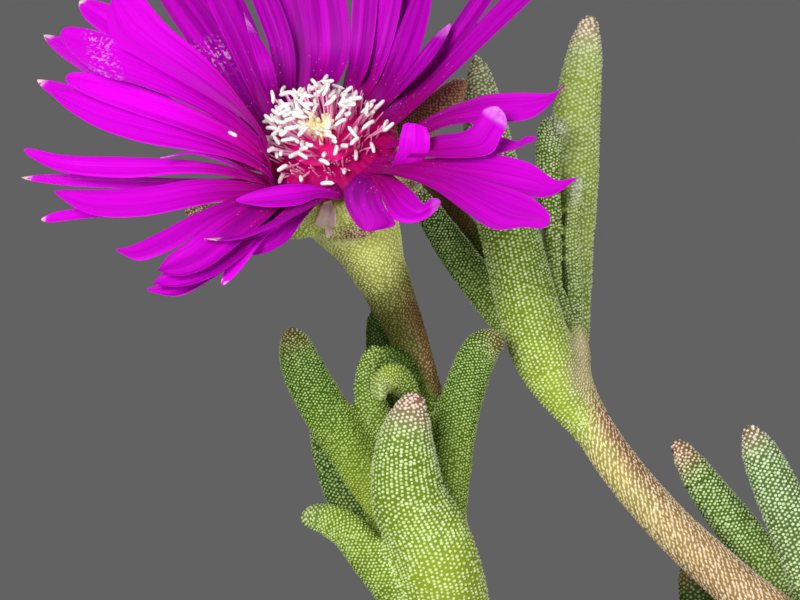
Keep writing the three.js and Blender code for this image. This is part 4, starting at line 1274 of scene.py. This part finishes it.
petals = Body("along", "across", "tone", "deep", "dry", "frost", "flecked")
for k, petal in enumerate(PETALS):
    form = {key: petal[key] for key in ("point", "full") if key in petal}
    if "rows" in petal:
        rows = np.array(petal["rows"], float)
        edges = [from_throat(rows[:, side]) for side in ([0, 1, 4], [2, 3, 4])]
        path = np.mean(edges, axis=0)
    else:
        edges = None
        path = from_throat(petal["places"], petal["root"])
    sheet, faces, along, across = petal_sheet(path, edges, petal.get("width"), PETAL_SEED + k, **form)
    turned = petal.get("turned", TURNED)
    dry = petal.get("dry", 0) * smoothstep(along, turned + 0.095, turned + 0.125)
    frost = petal.get("frost", 0) * smoothstep(along, turned, turned + 0.07)
    flecked = 1 - smoothstep(np.abs(along - petal.get("flecked", NOWHERE)), 0.02, 0.07)
    marks = {"deep": petal.get("deep", 0), "dry": dry, "frost": frost, "flecked": flecked}
    petals.add(sheet, faces, along=along, across=across, tone=rng.random(), **marks)


def ribbed(radius, angle, height):
    return height + 0.03 * np.cos(angle * 46) * smoothstep(radius, 3.4, 4.4)


# The papery scale, withered to a pale skin: its edges, as column, row and height over the cup's skin
SCALE = (
    [(325, 204, 0.3), (321, 210, 0.5), (317, 219, 0.6), (325, 226, 0.3), (327, 233, 0.5)],
    [(333, 203, 0.5), (337, 209, 0.9), (336, 217, 0.8), (331, 225, 0.5), (334, 232, 0.4)],
)


def on_cup(column, row, height):
    """A point over what a pixel shows of the flowering shoot."""
    way = unit(seen((column, row, 0)) - CAMERA_AT)
    place, normal, _, _ = CUP_SKIN.ray_cast(CAMERA_AT.tolist(), way.tolist())
    return np.array(place + normal * height)


edges = [np.array([on_cup(*place) for place in edge]) for edge in SCALE]
sheet, faces, along, across = petal_sheet(np.mean(edges, axis=0), edges, None, SCALE_SEED)
petals.add(sheet, faces, along=0.9, across=across, tone=0.5, dry=1.9)

CORE = [(3.3, 0.3), (6.2, 0.3), (6.3, 0.9), (5.9, 1.25), (5.3, 1.5), (4.4, 1.7), (3.4, 2.0)]
core, faces = lathe(CORE, 276, ribbed)
petals.add(from_flower(core), faces, along=0.05, across=0.2, tone=0.3)
petals.build("petals_fine", PETAL, "petal", "petals")

# Stamens
FILAMENT_RADIUS = 0.105
ANTHER_RADIUS = 0.2
STYLE_RADIUS = 0.29
STAMINODE_RADIUS = 0.13
tuft = Body("along", "cream")


def add_rod(points, radius_at, rings, sides, along, cream=0.0):
    def section(t, angle):
        radius = radius_at(t) * (1 + 0.12 * np.cos(2 * angle))
        return np.cos(angle) * radius, np.sin(angle) * radius

    skin, faces, t = Sweep(points, FLOWER_RIGHT + 0.01, section, stations=40).skin(rings, sides)
    tuft.add(skin, faces, along=along(t), cream=cream)


def around(angle, radius, lift):
    return np.array([radius * math.cos(angle), radius * math.sin(angle), lift])


def filament_radius(t):
    return np.full_like(t, FILAMENT_RADIUS)


def anther_radius(t):
    return ANTHER_RADIUS * np.maximum(1 - np.abs(2 * t - 1) ** 5, 0.05) ** 0.5


def style_radius(t):
    return STYLE_RADIUS * (1 - 0.3 * t)


def staminode_radius(t):
    return STAMINODE_RADIUS * (1 - 0.6 * t)


def rising(t):
    return 0.12 + 0.38 * t


def low(t):
    return 0.42 * t


def white(t):
    return np.full_like(t, 0.8)


# Rings of stamens: count, the radius of root and top, and the top's height. They crowd to one side
STAMEN_RINGS = [(20, 0.9, 2.2, 4.7), (40, 1.4, 3.1, 4.7), (50, 2.1, 4.4, 4.0), (30, 2.7, 5.4, 2.6)]
CROWDED = math.radians(135)
ANTHER_LENGTH = 1.4
STAMINODES = 150
STYLES = 26

MOUND = [(0, 0.3), (4.1, 0.3), (4.1, 1.5), (3.3, 2.1), (2.0, 2.6), (1.2, 2.8), (0, 2.9)]
mound, faces = lathe(MOUND, 48)
tuft.add(from_flower(mound), faces, along=0.0)
for count, root, reach, height in STAMEN_RINGS:
    for k in range(count):
        angle = (k + rng.normal(0, 0.35)) / count * 2 * np.pi
        angle -= 0.62 * math.sin(angle - CROWDED)
        reach_here, height_here = reach + rng.normal(0, 0.4), height + rng.normal(0, 0.45)
        foot = around(angle, root, 1.8)
        waist = around(angle, (root + reach_here) * 0.45, 0.62 * height_here)
        top = around(angle + rng.normal(0, 0.08), reach_here, height_here)
        add_rod(from_flower([foot, waist, top]), filament_radius, 7, 5, rising)
        way = unit(around(angle + rng.normal(0, 0.9), 1.0, rng.uniform(-0.2, 0.8))) @ FLOWER_ROWS
        rod = way * ANTHER_LENGTH / 2 * rng.uniform(0.8, 1.1)
        middle = from_flower(top)
        bow = unit(rng.normal(0, 1, 3)) * 0.12
        add_rod([middle - rod, middle + bow, middle + rod], anther_radius, 8, 8, white)
for _ in range(STAMINODES):
    angle = rng.random() * 2 * np.pi
    foot, lean = rng.uniform(2.4, 4.6), rng.uniform(0.4, 1.4)
    stop = rng.uniform(2.2, 3.6)
    path = [around(angle, foot, 1.2), around(angle, foot + 0.3 * lean, 1.8), around(angle, foot + lean, stop)]
    add_rod(from_flower(path), staminode_radius, 6, 5, low)
for k in range(STYLES):
    angle = k / STYLES * 2 * np.pi + rng.normal(0, 0.3)
    top = around(angle, 1.3 + rng.normal(0, 0.5), 3.5 + rng.normal(0, 0.5))
    style = [around(angle, 0.3, 2.4), around(angle, 0.8, 3.3), top]
    add_rod(from_flower(style), style_radius, 8, 8, white, cream=1.0)

# One anther has fallen on a petal
lying = from_flower([seen_in_flower(228, 132, 5.3), seen_in_flower(237, 136, 5.3)])
add_rod([lying[0], lying.mean(0), lying[1]], anther_radius, 8, 8, white)
tuft.build("stamens_fine", TUFT, "stamen", "stamens")

# Pot, soil and grit
under_collar = POT["height"] - POT["rim_depth"]
POT_CORNERS = [
    ((POT["drain_radius"], 0), 0),
    ((POT["base_radius"], 0), 2.2),
    ((POT["rim_radius"] - POT["collar_step"], under_collar), 0.8),
    ((POT["rim_radius"] - 0.6, under_collar + 0.4), 0.8),
    ((POT["rim_radius"], POT["height"]), 1.6),
    ((POT["rim_radius"] - POT["wall"], POT["height"]), 1.6),
    ((POT["rim_radius"] - POT["collar_step"] - POT["wall"], under_collar - 3), 3),
    ((POT["base_radius"] - POT["wall"], POT["floor"]), 3),
    ((POT["drain_radius"], POT["floor"]), 0),
]
outline = rounded([corner for corner, _ in POT_CORNERS], [radius for _, radius in POT_CORNERS], 7)
pot = Body()
pot.add(*lathe(spaced(outline, 4), 128))
pot.build("pot_turned", CLAY, "clay", "pot")


def soil_height(x, y):
    clods = SOIL["clod"] * np.sin(x / 3.1 + 1.7 * np.sin(y / 4.3)) * np.cos(y / 3.7)
    crumbs = 0.22 * np.sin(x / 0.9 + 2 * np.sin(y / 1.3)) * np.cos(y / 1.1 + x / 2.1)
    return SOIL["level"] - SOIL["dome"] * (x * x + y * y) / SOIL["edge_radius"] ** 2 + clods + crumbs


def clodded(radius, angle, height):
    surface = soil_height(radius * np.cos(angle), radius * np.sin(angle))
    return np.where(height == SOIL["level"], surface, height)


CLEARANCE = 0.3
edge = SOIL["edge_radius"]
inner_base = POT["base_radius"] - POT["wall"]
inner_top = POT["rim_radius"] - POT["collar_step"] - POT["wall"]
bottom = POT["floor"] + CLEARANCE
rows = [
    (0, bottom),
    (inner_base - 2.5, bottom),
    (inner_base - 0.5, bottom + 2),
    (inner_top - CLEARANCE, under_collar - 3),
    (edge, SOIL["level"] - SOIL["dome"] - 1),
]
rows += [(radius, SOIL["level"]) for radius in np.linspace(edge, 1, 48)] + [(0, SOIL["level"])]
soil = Body()
soil.add(*lathe(rows, 144, clodded))
soil.build("soil_surface", COMPOST, "soil", "soil")

GOLDEN = (1 + 5**0.5) / 2
STONE = unit([(0, a, b * GOLDEN) for a in (-1, 1) for b in (-1, 1)])
STONE = np.vstack([STONE, np.roll(STONE, 1, axis=1), np.roll(STONE, 2, axis=1)])
STONE_EDGE = 1.06
STONE_FACES = [
    (a, b, c) if np.cross(STONE[b] - STONE[a], STONE[c] - STONE[a]) @ STONE[a] > 0 else (a, c, b)
    for a in range(12)
    for b in range(a + 1, 12)
    for c in range(b + 1, 12)
    if max(np.linalg.norm(STONE[i] - STONE[j]) for i, j in ((a, b), (b, c), (a, c))) < STONE_EDGE
]
GRIT_COUNT = 2000
GRIT_REACH = inner_top - CLEARANCE
grit = Body("tone")
for _ in range(GRIT_COUNT):
    radius = GRIT_REACH * math.sqrt(rng.random())
    angle = rng.random() * 2 * np.pi
    x, y = radius * math.cos(angle), radius * math.sin(angle)
    size = rng.uniform(0.4, 0.85) if rng.random() < 0.8 else rng.uniform(0.85, 1.6)
    lump = STONE * rng.normal(1, 0.14, (12, 1)) * size * rng.uniform((0.7, 0.7, 0.45), (1.3, 1.1, 0.9))
    spin = rng.random() * 2 * np.pi
    turn = np.array([[math.cos(spin), math.sin(spin), 0], [-math.sin(spin), math.cos(spin), 0], [0, 0, 1]])
    grit.add(lump @ turn + (x, y, soil_height(x, y) + 0.15 * size), STONE_FACES, tone=rng.random() ** 1.6)
grit.build("grit", GRIT, "soil").data.shade_flat()

# Floor, lights and camera
FLOOR_RADIUS = 0.27
FLOOR_DEPTH = 0.004
FLOOR_AT = (0, 0, -FLOOR_DEPTH / 2)
bpy.ops.mesh.primitive_cylinder_add(vertices=160, radius=FLOOR_RADIUS, depth=FLOOR_DEPTH, location=FLOOR_AT)
floor = bpy.context.object
floor.name = "floor"
floor.data.materials.append(Nodes("pale floor").finish(Base_Color=colour(206, 205, 202), Roughness=0.9))

BACKDROP = colour(98, 98, 98)
world = bpy.data.worlds.new("studio grey")
bpy.context.scene.world = world
world.use_nodes = True
world.node_tree.nodes["Background"].inputs["Color"].default_value = BACKDROP


def area_light(name, place, aim, size, power):
    light = bpy.data.lights.new(name, "AREA")
    light.shape = "DISK"
    light.size = size
    light.energy = power
    lamp = bpy.data.objects.new(name, light)
    bpy.context.scene.collection.objects.link(lamp)
    lamp.location = place
    lamp.rotation_euler = (Vector(aim) - Vector(place)).to_track_quat("-Z", "Y").to_euler()


area_light("key", (-0.26, -0.5, 0.42), (0, 0, 0.13), 0.36, 3.9)
area_light("fill", (0.4, -0.54, 0.2), (0, 0, 0.13), 0.4, 2.0)
area_light("back", (0.15, 0.5, 0.45), (0, 0, 0.12), 0.4, 1.6)

SENSOR_WIDTH = 36
camera_data = bpy.data.cameras.new("photo")
camera_data.sensor_width = SENSOR_WIDTH
camera_data.lens = SENSOR_WIDTH * PHOTO_DISTANCE / (PHOTO_WIDTH * MM_PER_PIXEL)
camera = bpy.data.objects.new("photo", camera_data)
bpy.context.scene.collection.objects.link(camera)
turned = Matrix([VIEW_RIGHT, VIEW_UP, -VIEW_AWAY]).transposed().to_4x4()
camera.matrix_world = Matrix.Translation(Vector(CAMERA_AT / 1000)) @ turned
bpy.context.scene.camera = camera
bpy.context.scene.view_settings.view_transform = "Standard"
